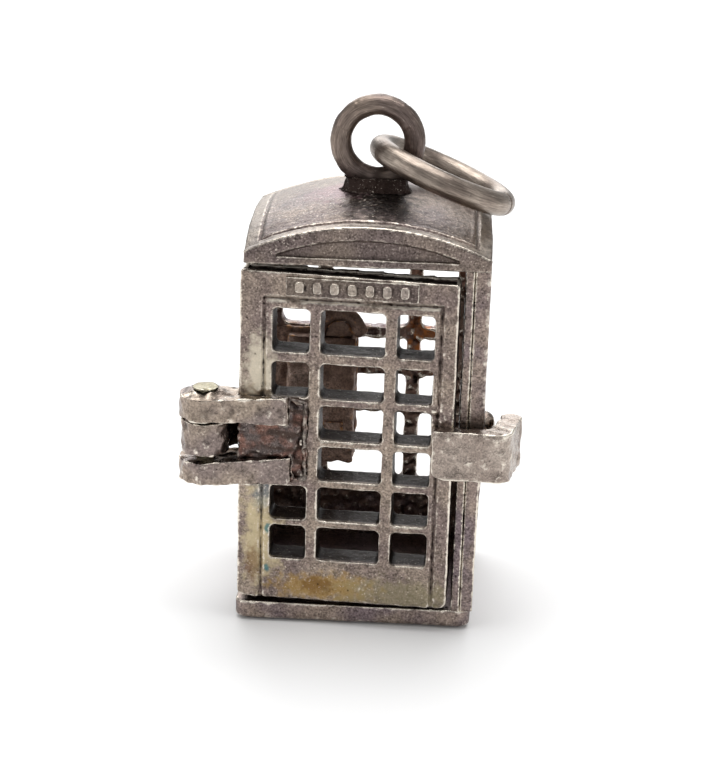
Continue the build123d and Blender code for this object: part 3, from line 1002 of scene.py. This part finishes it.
# ---------------------------------------------------------------- hanging parts
@dataclass
class HangingLoop:
    """The cast loop on the roof, the solder at its neck, and the drawn-wire jump ring in it.

    Attributes:
        foundry: Makes the worn pieces.
        squareness: How far the loop's section swells into four corners, in millimetres.
    """

    SPLIT_PLACE = (5.094, -0.628, 16.868)   # where the jump ring is cut, in millimetres
    SPLIT_ALONG = (0.309, 0.922, -0.234)    # direction of the wire there
    SPLIT_REACH = 2.0                       # nothing further off belongs to the cut

    foundry: Foundry
    squareness: float = 0.012

    def __post_init__(self) -> None:
        """Read the loop's centre and radii from the frame."""
        low, high = box_mm("bail")
        width = high[0] - low[0]
        self.wire = (high[1] - low[1]) / 2
        self.mean = width / 2 - self.wire
        self.centre = np.array([(low[0] + high[0]) / 2, (low[1] + high[1]) / 2, high[2] - width / 2])

    @staticmethod
    def _lay_grain(mesh: bpy.types.Mesh, centre: np.ndarray, axis: np.ndarray, mean: float) -> None:
        """Store how far round the ring and how far round the wire each place lies, in millimetres.

        Args:
            mesh: The ring's mesh, in metres.
            centre: Its centre, in millimetres.
            axis: Its axis.
            mean: Radius of the wire's centre line, in millimetres.
        """
        places = np.empty(len(mesh.vertices) * 3, np.float32)
        mesh.vertices.foreach_get("co", places)
        apart = places.reshape(-1, 3) / MM - centre
        across = np.cross(axis, (0.3, 0.5, 0.8))
        across /= np.linalg.norm(across)
        onward = np.cross(axis, across)
        x, y, h = apart @ across, apart @ onward, apart @ axis
        out = np.hypot(x, y) - mean
        draw = np.stack([np.arctan2(y, x) * mean, np.arctan2(h, out) * 0.45, np.zeros(len(x))], 1)
        layer = mesh.attributes.new("draw", "FLOAT_VECTOR", "POINT")
        layer.data.foreach_set("vector", draw.astype(np.float32).ravel())

    def _square_section(self, places: Points, normals: Points) -> np.ndarray:
        """Flatten the loop's wire a little, so that it has a face and a band."""
        apart = places - self.centre
        out = np.hypot(apart[:, 0], apart[:, 2]) - self.mean
        turn = np.arctan2(apart[:, 1], out)
        return -self.squareness * (1 + np.cos(4 * turn)) / 2 + 0.006 * lumps(places, 0.35, 31)

    def _from_split(self, places: Points) -> np.ndarray:
        """Distance from the cut in the jump ring, along the wire."""
        apart = places - self.SPLIT_PLACE
        far_side = np.linalg.norm(apart, axis=1) > self.SPLIT_REACH
        return np.abs(apart @ np.array(self.SPLIT_ALONG)) + far_side

    def _split(self, places: Points, normals: Points) -> np.ndarray:
        """The cut in the jump ring, pressed almost shut."""
        return -0.07 * near(self._from_split(places), 0.0, 0.09)

    def _split_tone(self, places: Points, normals: Points) -> np.ndarray:
        """Dirt in the cut."""
        return 1.4 * near(self._from_split(places), 0.0, 0.10)

    def _solder_neck(self, places: Points, normals: Points) -> np.ndarray:
        """Lumps of solder that ran down from the neck."""
        sideways = 1 - np.abs(normals[:, 2])
        return 0.02 * np.clip(lumps(places, 0.18, 41), -1, 1.3) - 0.08 * sideways

    def _sooty_foot(self, places: Points, normals: Points) -> np.ndarray:
        """Soot on the loop where it was soldered on."""
        return 0.95 * rise(self.centre[2] - places[:, 2] + 0.1 * lumps(places, 0.3, 42), 0.85, 1.5)

    def build(self) -> tuple[bpy.types.Object, bpy.types.Object, bpy.types.Object]:
        """Make the loop, its solder and the jump ring.

        Returns:
            The three objects, in that order.
        """
        fine = Casting(grain=0.035, rounding=2, swell=0.03, swell_size=0.6, ripple=0.012, ripple_size=0.15)
        loop = self.foundry.cast("bail_cast", ["bail"], fine, (), self._square_section, self._sooty_foot)
        self._lay_grain(loop.data, self.centre, np.array([0.0, 1.0, 0.0]), self.mean)
        neck = self.foundry.cast(
            "bail_solder_lump", ["bail_solder"], Casting(grain=0.035, rounding=2, swell=0.04, swell_size=0.4),
            (), self._solder_neck, self._sooty_foot,
        )
        wire = Casting(grain=0.045, rounding=1, swell=0.02, swell_size=1.0, ripple=0.006, ripple_size=0.3)
        ring = self.foundry.cast("jump_ring_wire", ["jump_ring"], wire, (), self._split, self._split_tone)
        places = np.array([v.co for v in ring.data.vertices]) / MM
        centre = (places.min(0) + places.max(0)) / 2
        axis = np.linalg.svd(places[::7] - centre, full_matrices=False)[2][2]
        reach = np.linalg.norm(places - centre, axis=1)
        self._lay_grain(ring.data, centre, axis, (reach.max() + reach.min()) / 2)
        return loop, neck, ring


# ---------------------------------------------------------------- door
@dataclass
class Door:
    """The glazed leaf, its sign, its hinge with the pin and the fired solder, and the hook latch.

    Attributes:
        foundry: Makes the worn pieces.
        ajar_deg: How far open the leaf stands at rest.
        face_out: How far in front of the pin the leaf's face lies, in millimetres.
    """

    TOP_BAND_Z = 14.4      # above this lies the leaf's top face
    TOP_SLANT = 0.24       # how much that face falls towards the cabin

    foundry: Foundry
    ajar_deg: float = 3.27
    face_out: float = 0.171

    def __post_init__(self) -> None:
        """Read the pin's place and the hinge's levels from the frame."""
        hinge = next(j for j in frame["joints"] if j["child"] == "door")
        self.pin = np.array(hinge["pos_m"]) / MM
        self.upper = box_mm("hinge_arm_upper")
        self.lower = box_mm("hinge_arm_lower")
        self.strap = box_mm("latch_strap")
        self.pin_top = box_mm("hinge_pin")[1][2]
        turn = math.radians(self.ajar_deg)
        self.outward = (-math.sin(turn), -math.cos(turn), 0.0)

    def leaf_places(self, places: Points) -> Points:
        """Turn places into the leaf's own: along it from the pin, out of it, and up.

        Args:
            places: Places in millimetres.

        Returns:
            The same places, seen from the leaf.
        """
        turn = math.radians(self.ajar_deg)
        apart = places - self.pin
        along = apart[:, 0] * math.cos(turn) - apart[:, 1] * math.sin(turn)
        out = -apart[:, 0] * math.sin(turn) - apart[:, 1] * math.cos(turn)
        return np.stack([along, out, places[:, 2]], 1)

    def _leaf_marks(self, places: Points, normals: Points) -> np.ndarray:
        """Crept solder round the hinge and the latch, pits in the bottom rail, and a slanting top."""
        local = self.leaf_places(places)
        hinge_top = within(local, (2.1, 0.1, self.upper[1][2] + 0.12), (1.3, 0.6, 0.45))
        hinge_end = within(local, (3.75, 0.1, (self.upper[1][2] + self.lower[0][2]) / 2), (0.55, 0.6, 2.4))
        latch_top = within(local, (9.0, 0.1, self.strap[1][2] + 0.35), (1.0, 0.6, 0.8))
        solder = 0.6 * hinge_top + 0.5 * hinge_end + latch_top
        behind = np.clip((self.face_out - 0.15 - local[:, 1]) / 0.7, 0, 1) * (local[:, 2] > self.TOP_BAND_Z)
        slant = -self.TOP_SLANT * behind * np.clip(normals[:, 2], 0, 1)
        rail = near(local[:, 2], 2.0, 1.3) * np.clip(normals @ np.array([0, -1, 0]), 0, 1)
        pits = np.clip(lumps(places, 0.10, 51) - 1.2, 0, 1)
        return solder * (0.02 + 0.022 * lumps(places, 0.17, 52)) - 0.03 * rail * pits + slant

    def _leaf_tone(self, places: Points, normals: Points) -> np.ndarray:
        """Painted shade in the reveals and the border groove, and painted highlights along top edges."""
        local = self.leaf_places(places)
        # painted highlights along the top edges, half as strong along the bottom ones
        worn = arris(normals, self.outward) * (0.75 + 0.35 * lumps(places, 0.5, 58))
        reverse = rise(-normals @ np.array(self.outward), 0.6, 0.95)
        # painted shade in the reveals behind the leaf's face
        reveal_shade = rise(self.face_out - local[:, 1], 0.07, 0.26) * (1 - 0.72 * reverse)
        return reveal_shade * (1 - worn.clip(0, 1)) - 0.9 * worn

    def _sign_tone(self, places: Points, normals: Points) -> np.ndarray:
        """Pads rubbed bright on top, over a dirty ground."""
        out = self.leaf_places(places)[:, 1] - self.face_out
        return 0.45 - 0.7 * rise(out, 0.11, 0.17)

    def _hammered(self, places: Points, normals: Points) -> np.ndarray:
        """The slight dents of a hand-made hinge, and the swelling under the pin's head."""
        out = np.hypot(*(places - self.pin)[:, :2].T)
        topmost = places[:, 2] > self.pin_top - 0.4
        dome = topmost * np.clip(normals[:, 2], 0, 1) * rise(-out, -0.95, -0.4)
        return -0.02 + 0.02 * lumps(places, 0.33, 61) + 0.15 * dome

    def _fitting_tone(self, places: Points, normals: Points) -> np.ndarray:
        """Painted highlights along the top edges of the hinge and the latch, weaker along the bottom ones."""
        return -1.1 * arris(normals, self.outward) * (0.8 + 0.3 * lumps(places, 0.5, 62))

    def _pin_dent(self, places: Points, normals: Points) -> np.ndarray:
        """A riveted head, a little domed, with a nick at its front."""
        apart = places - self.pin
        out = np.hypot(apart[:, 0], apart[:, 1])
        up = np.clip(normals[:, 2], 0, 1) * (places[:, 2] > self.pin_top - 0.2)
        nick = within(places, (self.pin[0] + 0.16, self.pin[1] - 0.42, self.pin_top), (0.26, 0.16, 0.3))
        rim = (1 - np.clip(normals[:, 2], 0, 1)) * (places[:, 2] > self.pin_top - 0.2)
        top = up * (-0.05 * np.clip(out / 0.62, 0, 1) ** 2 - 0.09 * nick + 0.012 * lumps(places, 0.3, 71))
        return top - 0.05 * rim

    def _solder_runs(self, places: Points, normals: Points) -> np.ndarray:
        """Ridges along the solder between the hinge arms."""
        local = self.leaf_places(places)
        facing = np.clip(normals @ np.array(self.outward), 0, 1)
        beyond = rise(local[:, 0], 3.2, 3.5)
        above = rise(local[:, 2], 9.25, 9.65) + rise(-local[:, 2], -6.6, -6.3)
        reach = rise(local[:, 0] + 0.12 * lumps(places, 0.3, 83), 3.4, 3.95)
        slump = facing * np.clip(reach + beyond * above, 0, 1)
        return 0.03 - 0.32 * slump + (1 - slump) * (0.03 * self._runs(places) + 0.02 * lumps(places, 0.2, 82))

    @staticmethod
    def _runs(places: Points) -> np.ndarray:
        """Waves across the runs of solder, from -1 in the valleys to 1 on the ridges."""
        return np.sin(places[:, 2] * 2 * math.pi / 0.52 + 1.1 * lumps(places, 0.6, 81))

    def _solder_tone(self, places: Points, normals: Points) -> np.ndarray:
        """Dark valleys between the runs, away from the pin."""
        along = self.leaf_places(places)[:, 0]
        return 0.9 * rise(-self._runs(places), 0.1, 0.9) * rise(along, 1.9, 2.8)

    def _strap_wear(self, places: Points, normals: Points) -> np.ndarray:
        """Small dents in the latch strap."""
        return -0.012 + 0.014 * lumps(places, 0.3, 91)

    def build(self) -> dict[str, bpy.types.Object]:
        """Make the door's pieces.

        Returns:
            The finished objects by name.
        """
        leaf = Casting(grain=0.056, rounding=3, swell=0.07, swell_size=1.1, ripple=0.02, ripple_size=0.25)
        sign = Casting(grain=0.030, rounding=6, swell=0.02, swell_size=0.5, ripple=0.02, ripple_size=0.15)
        arm = Casting(grain=0.036, rounding=4, swell=0.05, swell_size=0.8, ripple=0.012, ripple_size=0.18)
        blob = Casting(grain=0.032, rounding=2, swell=0.06, swell_size=0.4, ripple=0.02, ripple_size=0.12)
        orders = (
            ("door_leaf_cast", "door_leaf", leaf, self._leaf_marks),
            ("sign_plate_cast", "sign_plate", sign, None),
            ("hinge_arm_upper_forged", "hinge_arm_upper", arm, self._hammered),
            ("hinge_arm_lower_forged", "hinge_arm_lower", arm, self._hammered),
            ("hinge_pin_riveted", "hinge_pin", Casting(grain=0.032, rounding=2, swell=0.0, ripple=0.01),
             self._pin_dent),
            ("hinge_solder_run", "hinge_solder", blob, self._solder_runs),
            ("latch_strap_bent", "latch_strap", Casting(grain=0.038, rounding=4, swell=0.04, ripple=0.012),
             self._strap_wear),
        )
        tones = {
            "door_leaf": self._leaf_tone,
            "sign_plate": self._sign_tone,
            "hinge_arm_upper": self._fitting_tone,
            "hinge_arm_lower": self._fitting_tone,
            "hinge_solder": self._solder_tone,
            "latch_strap": self._fitting_tone,
        }
        return {
            name: self.foundry.cast(name, [node], how, (), mark, tones.get(node))
            for name, node, how, mark in orders
        }


@dataclass
class BoothSideFittings:
    """The hinge's middle knuckle and the latch bead, both soldered to the booth."""

    foundry: Foundry

    def _bead_lumps(self, places: Points, normals: Points) -> np.ndarray:
        """A bead of solder, pitted."""
        return -0.01 + 0.014 * lumps(places, 0.2, 101)

    def _knuckle_dents(self, places: Points, normals: Points) -> np.ndarray:
        """The knuckle's scraped front."""
        return -0.015 + 0.018 * lumps(places, 0.24, 111)

    def build(self) -> list[bpy.types.Object]:
        """Make the knuckle and the bead."""
        fine = Casting(grain=0.034, rounding=3, swell=0.02, swell_size=0.5, ripple=0.012, ripple_size=0.15)
        return [
            self.foundry.cast("hinge_knuckle_forged", ["hinge_knuckle"], fine, (), self._knuckle_dents,
                              # painted highlights along the knuckle's top edges, half as strong along its bottom
                              # ones
                              lambda places, normals: -arris(normals, (0, -1, 0))),
            self.foundry.cast("latch_bead_drop", ["latch_bead"], Casting(grain=0.026, rounding=2, swell=0.0),
                              (), self._bead_lumps),
        ]


# ---------------------------------------------------------------- telephone
@dataclass
class Telephone:
    """The little telephone on the back wall: plate, body, cradle, handset and coin tray."""

    foundry: Foundry

    def _face(self, places: Points, normals: Points) -> np.ndarray:
        """Soft casting marks."""
        return 0.02 * lumps(places, 0.28, 121)

    def build(self) -> list[bpy.types.Object]:
        """Make the telephone's pieces."""
        soft = Casting(grain=0.045, rounding=4, swell=0.05, swell_size=0.6, ripple=0.02, ripple_size=0.2)
        return [
            self.foundry.cast(f"{node}_cast", [node], soft, (), self._face)
            for node in ("phone_backplate", "phone_body", "phone_cradle", "phone_handset", "phone_coin_tray")
        ]


# ---------------------------------------------------------------- studio
@dataclass(frozen=True)
class SoftLight:
    """A square soft light, in millimetres.

    Attributes:
        name: Its name.
        place: Where it stands.
        side: Its width.
        glow: Radiance of its face.
        tint: Its colour.
    """

    name: str
    place: tuple[float, float, float]
    side: float
    glow: float
    tint: str = "#ffffff"


@dataclass
class Studio:
    """Pale floor, soft lights and the camera.

    Attributes:
        aim: The point that the camera looks at, in millimetres.
        distance: From the camera to that point.
        azimuth_deg: Turn of the camera about Z; 0 looks along +Y.
        elevation_deg: Angle above the horizon.
        roll_deg: Turn of the camera about its own line of sight.
        lens_mm: Focal length for a 36 mm sensor.
        floor_half: Half the floor's width, in metres.
        lights: The soft lights.
    """

    aim: tuple[float, float, float] = (0.019, -2.9985, 10.071)
    distance: float = 84.171
    azimuth_deg: float = 2.086
    elevation_deg: float = 19.654
    roll_deg: float = 1.808
    lens_mm: float = 101.16
    floor_half: float = 1.2
    lights: tuple[SoftLight, ...] = (
        SoftLight("top_light", (0, 30, 190), 180, 3.4),
        SoftLight("left_light", (-190, -90, 90), 110, 1.6),
        SoftLight("right_light", (190, -60, 90), 90, 1.2),
        SoftLight("front_light", (30, -240, 150), 90, 1.2),
        SoftLight("back_light", (-20, 220, 110), 150, 2.4),
    )

    def _look(self, place: Vector, aim: Vector, roll: float = 0.0) -> Matrix:
        """The matrix of something at a place that looks at a point.

        Args:
            place: Where it stands.
            aim: What it looks at.
            roll: Its turn about its line of sight.

        Returns:
            Its matrix.
        """
        forward = (aim - place).normalized()
        right = forward.cross(Vector((0, 0, 1))).normalized()
        up = right.cross(forward)
        rolled = right * math.cos(roll) + up * math.sin(roll)
        risen = up * math.cos(roll) - right * math.sin(roll)
        turn = Matrix((rolled, risen, -forward)).transposed()
        return Matrix.Translation(place) @ turn.to_4x4()

    def make_camera(self) -> bpy.types.Object:
        """Put up the camera and make it the scene's.

        Returns:
            The camera.
        """
        azimuth, elevation = math.radians(self.azimuth_deg), math.radians(self.elevation_deg)
        back = Vector((
            math.sin(azimuth) * math.cos(elevation),
            -math.cos(azimuth) * math.cos(elevation),
            math.sin(elevation),
        ))
        data = bpy.data.cameras.new("camera")
        data.sensor_width = 36.0
        data.lens = self.lens_mm
        data.clip_start = MM
        data.clip_end = 10.0
        camera = bpy.data.objects.new("camera", data)
        aim = Vector(self.aim) * MM
        camera.matrix_world = self._look(aim + back * self.distance * MM, aim, math.radians(self.roll_deg))
        bpy.context.scene.collection.objects.link(camera)
        bpy.context.scene.camera = camera
        return camera

    def make_lights(self) -> None:
        """Put up the soft lights and the pale surround."""
        aim = Vector(self.aim) * MM
        for light in self.lights:
            data = bpy.data.lights.new(light.name, "AREA")
            data.shape = "SQUARE"
            data.size = light.side * MM
            data.energy = light.glow * math.pi * data.size ** 2
            data.color = colour(light.tint)[:3]
            lamp = bpy.data.objects.new(light.name, data)
            lamp.matrix_world = self._look(Vector(light.place) * MM, aim)
            bpy.context.scene.collection.objects.link(lamp)
        world = bpy.data.worlds.new("surround")
        world.use_nodes = True
        glow = world.node_tree.nodes["Background"]
        glow.inputs["Color"].default_value = colour("#f6f6f6")
        glow.inputs["Strength"].default_value = 0.5
        bpy.context.scene.world = world

    def make_floor(self) -> bpy.types.Object:
        """Lay the pale floor.

        Returns:
            The floor.
        """
        shape = bmesh.new()
        bmesh.ops.create_grid(shape, x_segments=1, y_segments=1, size=self.floor_half)
        mesh = bpy.data.meshes.new("floor")
        shape.to_mesh(mesh)
        shape.free()
        floor = bpy.data.objects.new("floor", mesh)
        bpy.context.scene.collection.objects.link(floor)
        material = bpy.data.materials.new("pale_card")
        material.use_nodes = True
        shader = material.node_tree.nodes["Principled BSDF"]
        shader.inputs["Base Color"].default_value = colour("#f7f7f7")
        shader.inputs["Roughness"].default_value = 0.9
        shader.inputs["Specular IOR Level"].default_value = 0.1
        mesh.materials.append(material)
        return floor


# ---------------------------------------------------------------- the whole charm
def make_finishes() -> dict[str, bpy.types.Material]:
    """Make every finish of the charm.

    Returns:
        The materials by name.
    """
    finishes = (
        # grey-brown casting skin, bright arrises, black corners and painted shade inside: reads as old cast silver
        SilverFinish("oxidised_cast_silver"),
        # a darker, speckled skin with a blackened patch where the loop was soldered on
        SilverFinish(
            "oxidised_roof_silver",
            body="#82756c",
            shade="#6e625f",
            dirt_from=0.6,
            dirt_full=1.8,
            wear_from=0.5,
            wear_full=1.5,
            fleck_share=0.45,
            stains=(Stain("#1f1613", (0.5, -1.7, 17.0), (1.75, 2.5, 1.3), 0.93, 0.4),
                    Stain("#85606a", (-1.2, -0.3, 17.0), (1.5, 1.6, 1.2), 0.35, 0.4)),
        ),
        # warm grey face with cream, green, blue and rust stains; painted shade makes the reveals nearly black
        SilverFinish(
            "oxidised_door_silver",
            body="#938579",
            shade="#7b6d68",
            fleck_share=0.4,
            deep="#251b17",
            stains=(
                Stain("#cfbf98", (-3.7, -4.2, 3.8), (1.1, 1.2, 2.7), 0.65, 0.35),
                Stain("#a8884c", (-1.2, -4.4, 1.75), (2.8, 1.2, 0.75), 0.7, 0.3),
                Stain("#948c6c", (1.8, -4.5, 1.6), (3.2, 1.2, 0.9), 0.5, 0.35),
                Stain("#6d4a24", (-1.5, -4.4, 1.8), (0.9, 1.2, 0.5), 0.6, 0.2),
                Stain("#6d4a24", (-4.1, -4.2, 2.6), (0.4, 1.2, 0.9), 0.55, 0.2),
                Stain("#d9cfba", (-3.9, -4.2, 10.7), (0.75, 1.2, 1.9), 0.7, 0.35),
                Stain("#3c7074", (-3.55, -4.0, 4.1), (0.16, 0.5, 0.26), 0.8, 0.3),
                Stain("#3c7074", (-3.55, -4.0, 2.4), (0.16, 0.5, 0.26), 0.8, 0.3),
                Stain("#65757d", (-3.7, -4.2, 5.6), (0.7, 1.0, 0.8), 0.5, 0.4),
            ),
        ),
        # dull brown, coppery only at its edges: keeps the telephone back in the shade
        SilverFinish(
            "tarnished_inner_silver",
            body="#b09a8e",
            shade="#937b6e",
            grime="#2b1f1a",
            worn="#b98a5e",
            fleck="#8f6a4a",
            rough=0.55,
            rough_worn=0.4,
            wear_from=0.5,
            wear_full=1.3,
            dirt_from=0.8,
            dirt_full=2.6,
            deep="#5c4a40",
            stains=(Stain("#6e584c", (0.0, 3.5, 11.0), (7.0, 2.4, 6.5), 0.75, 0.6),),
        ),
        # the back wall: like the other walls outside, browned and partly coppery on its cabin side
        SilverFinish(
            "oxidised_back_silver",
            stains=(Stain("#7a6357", (0.0, 3.1, 9.5), (14.0, 0.6, 20.0), 0.95, 0.6),
                    Stain("#b26a2e", (2.3, 3.1, 10.2), (0.9, 0.7, 2.6), 0.85, 0.3),
                    Stain("#9a6a50", (2.0, 3.1, 13.2), (3.4, 0.7, 1.7), 0.6, 0.4)),
        ),
        # smoother and lighter than the walls, with edges rubbed bright and painted highlights: handled metal
        SilverFinish("worn_fitting_silver", body="#97897c", shade="#857873", mottle_mm=0.34, pit_mm=0.24,
                     contrast=0.38, rough=0.28, wear_from=0.2, wear_full=0.7),
        # the lightest and glossiest fitting, since every opening rubs it
        SilverFinish("worn_strap_silver", body="#a69a90", shade="#92857c", mottle_mm=0.26, pit_mm=0.24,
                     contrast=0.34, rough=0.26, wear_from=0.15, wear_full=0.6),
        # reddish fire-stained runs with pale specks: solder that was never cleaned up
        SilverFinish(
            "fired_silver_solder",
            body="#7f6056",
            shade="#655b58",
            grime="#261b18",
            fleck="#cbbfb2",
            cloud_mm=0.6,
            mottle_mm=0.2,
            contrast=0.5,
            fleck_share=0.3,
            rough=0.42,
            rough_worn=0.32,
            wear_from=0.7,
            wear_full=1.8,
            dirt_from=0.6,
            dirt_full=2.2,
            relief_mm=0.02,
        ),
        # nearly black, with pale flecks: soot and flux left round the neck
        SilverFinish(
            "sooty_neck_silver",
            body="#4a3a34",
            shade="#5b4a44",
            grime="#1a1210",
            deep="#2a1f1b",
            fleck="#d9cfc2",
            cloud_mm=0.5,
            mottle_mm=0.2,
            fleck_share=0.4,
            rough=0.34,
            dirt_from=0.8,
            dirt_full=2.4,
            wear_from=0.9,
            wear_full=2.0,
        ),
        # streaks along the wire that draw out the highlight: drawn wire
        SilverFinish(
            "drawn_silver_wire",
            body="#9d9186",
            shade="#80746b",
            worn="#e9e2d6",
            contrast=0.35,
            pit_share=0.12,
            rough=0.34,
            rough_worn=0.24,
            relief_mm=0.012,
            wear_from=1.0,
            wear_full=2.0,
            lay=Lay.DRAWN,
        ),
        # like the wire, but browner and duller: the loop is cast and less handled
        SilverFinish(
            "oxidised_loop_silver",
            body="#8a7c71",
            shade="#6f625d",
            deep="#2e2420",
            contrast=0.4,
            rough=0.36,
            relief_mm=0.018,
            wear_from=1.0,
            wear_full=2.0,
            lay=Lay.DRAWN,
        ),
        # pale and slightly yellow: a freshly scraped rivet head
        SilverFinish("scraped_pin_silver", body="#aba58f", shade="#978f7a", contrast=0.3, rough=0.42),
    )
    return {finish.name: finish.make() for finish in finishes}


def main() -> None:
    """Build, dress and light the charm."""
    logging.basicConfig(level=logging.INFO, format="%(name)s: %(message)s")
    bpy.context.scene.view_settings.view_transform = "Standard"
    foundry = Foundry()
    finishes = make_finishes()

    booth = Booth(foundry)
    booth.dress(booth.build(), finishes["oxidised_cast_silver"], finishes["oxidised_back_silver"])
    roof = Roof(foundry)
    roof.dress(roof.build(), finishes["oxidised_roof_silver"])

    loop, neck, ring = HangingLoop(foundry).build()
    loop.data.materials.append(finishes["oxidised_loop_silver"])
    neck.data.materials.append(finishes["sooty_neck_silver"])
    ring.data.materials.append(finishes["drawn_silver_wire"])

    for name, piece in Door(foundry).build().items():
        finish = {
            "door_leaf_cast": "oxidised_door_silver",
            "sign_plate_cast": "oxidised_door_silver",
            "hinge_solder_run": "fired_silver_solder",
            "hinge_pin_riveted": "scraped_pin_silver",
            "latch_strap_bent": "worn_strap_silver",
        }.get(name, "worn_fitting_silver")
        piece.data.materials.append(finishes[finish])
    for piece in BoothSideFittings(foundry).build():
        piece.data.materials.append(finishes["worn_fitting_silver"])
    for piece in Telephone(foundry).build():
        piece.data.materials.append(finishes["tarnished_inner_silver"])

    studio = Studio()
    studio.make_floor()
    studio.make_lights()
    studio.make_camera()


if __name__ == "__main__":
    main()
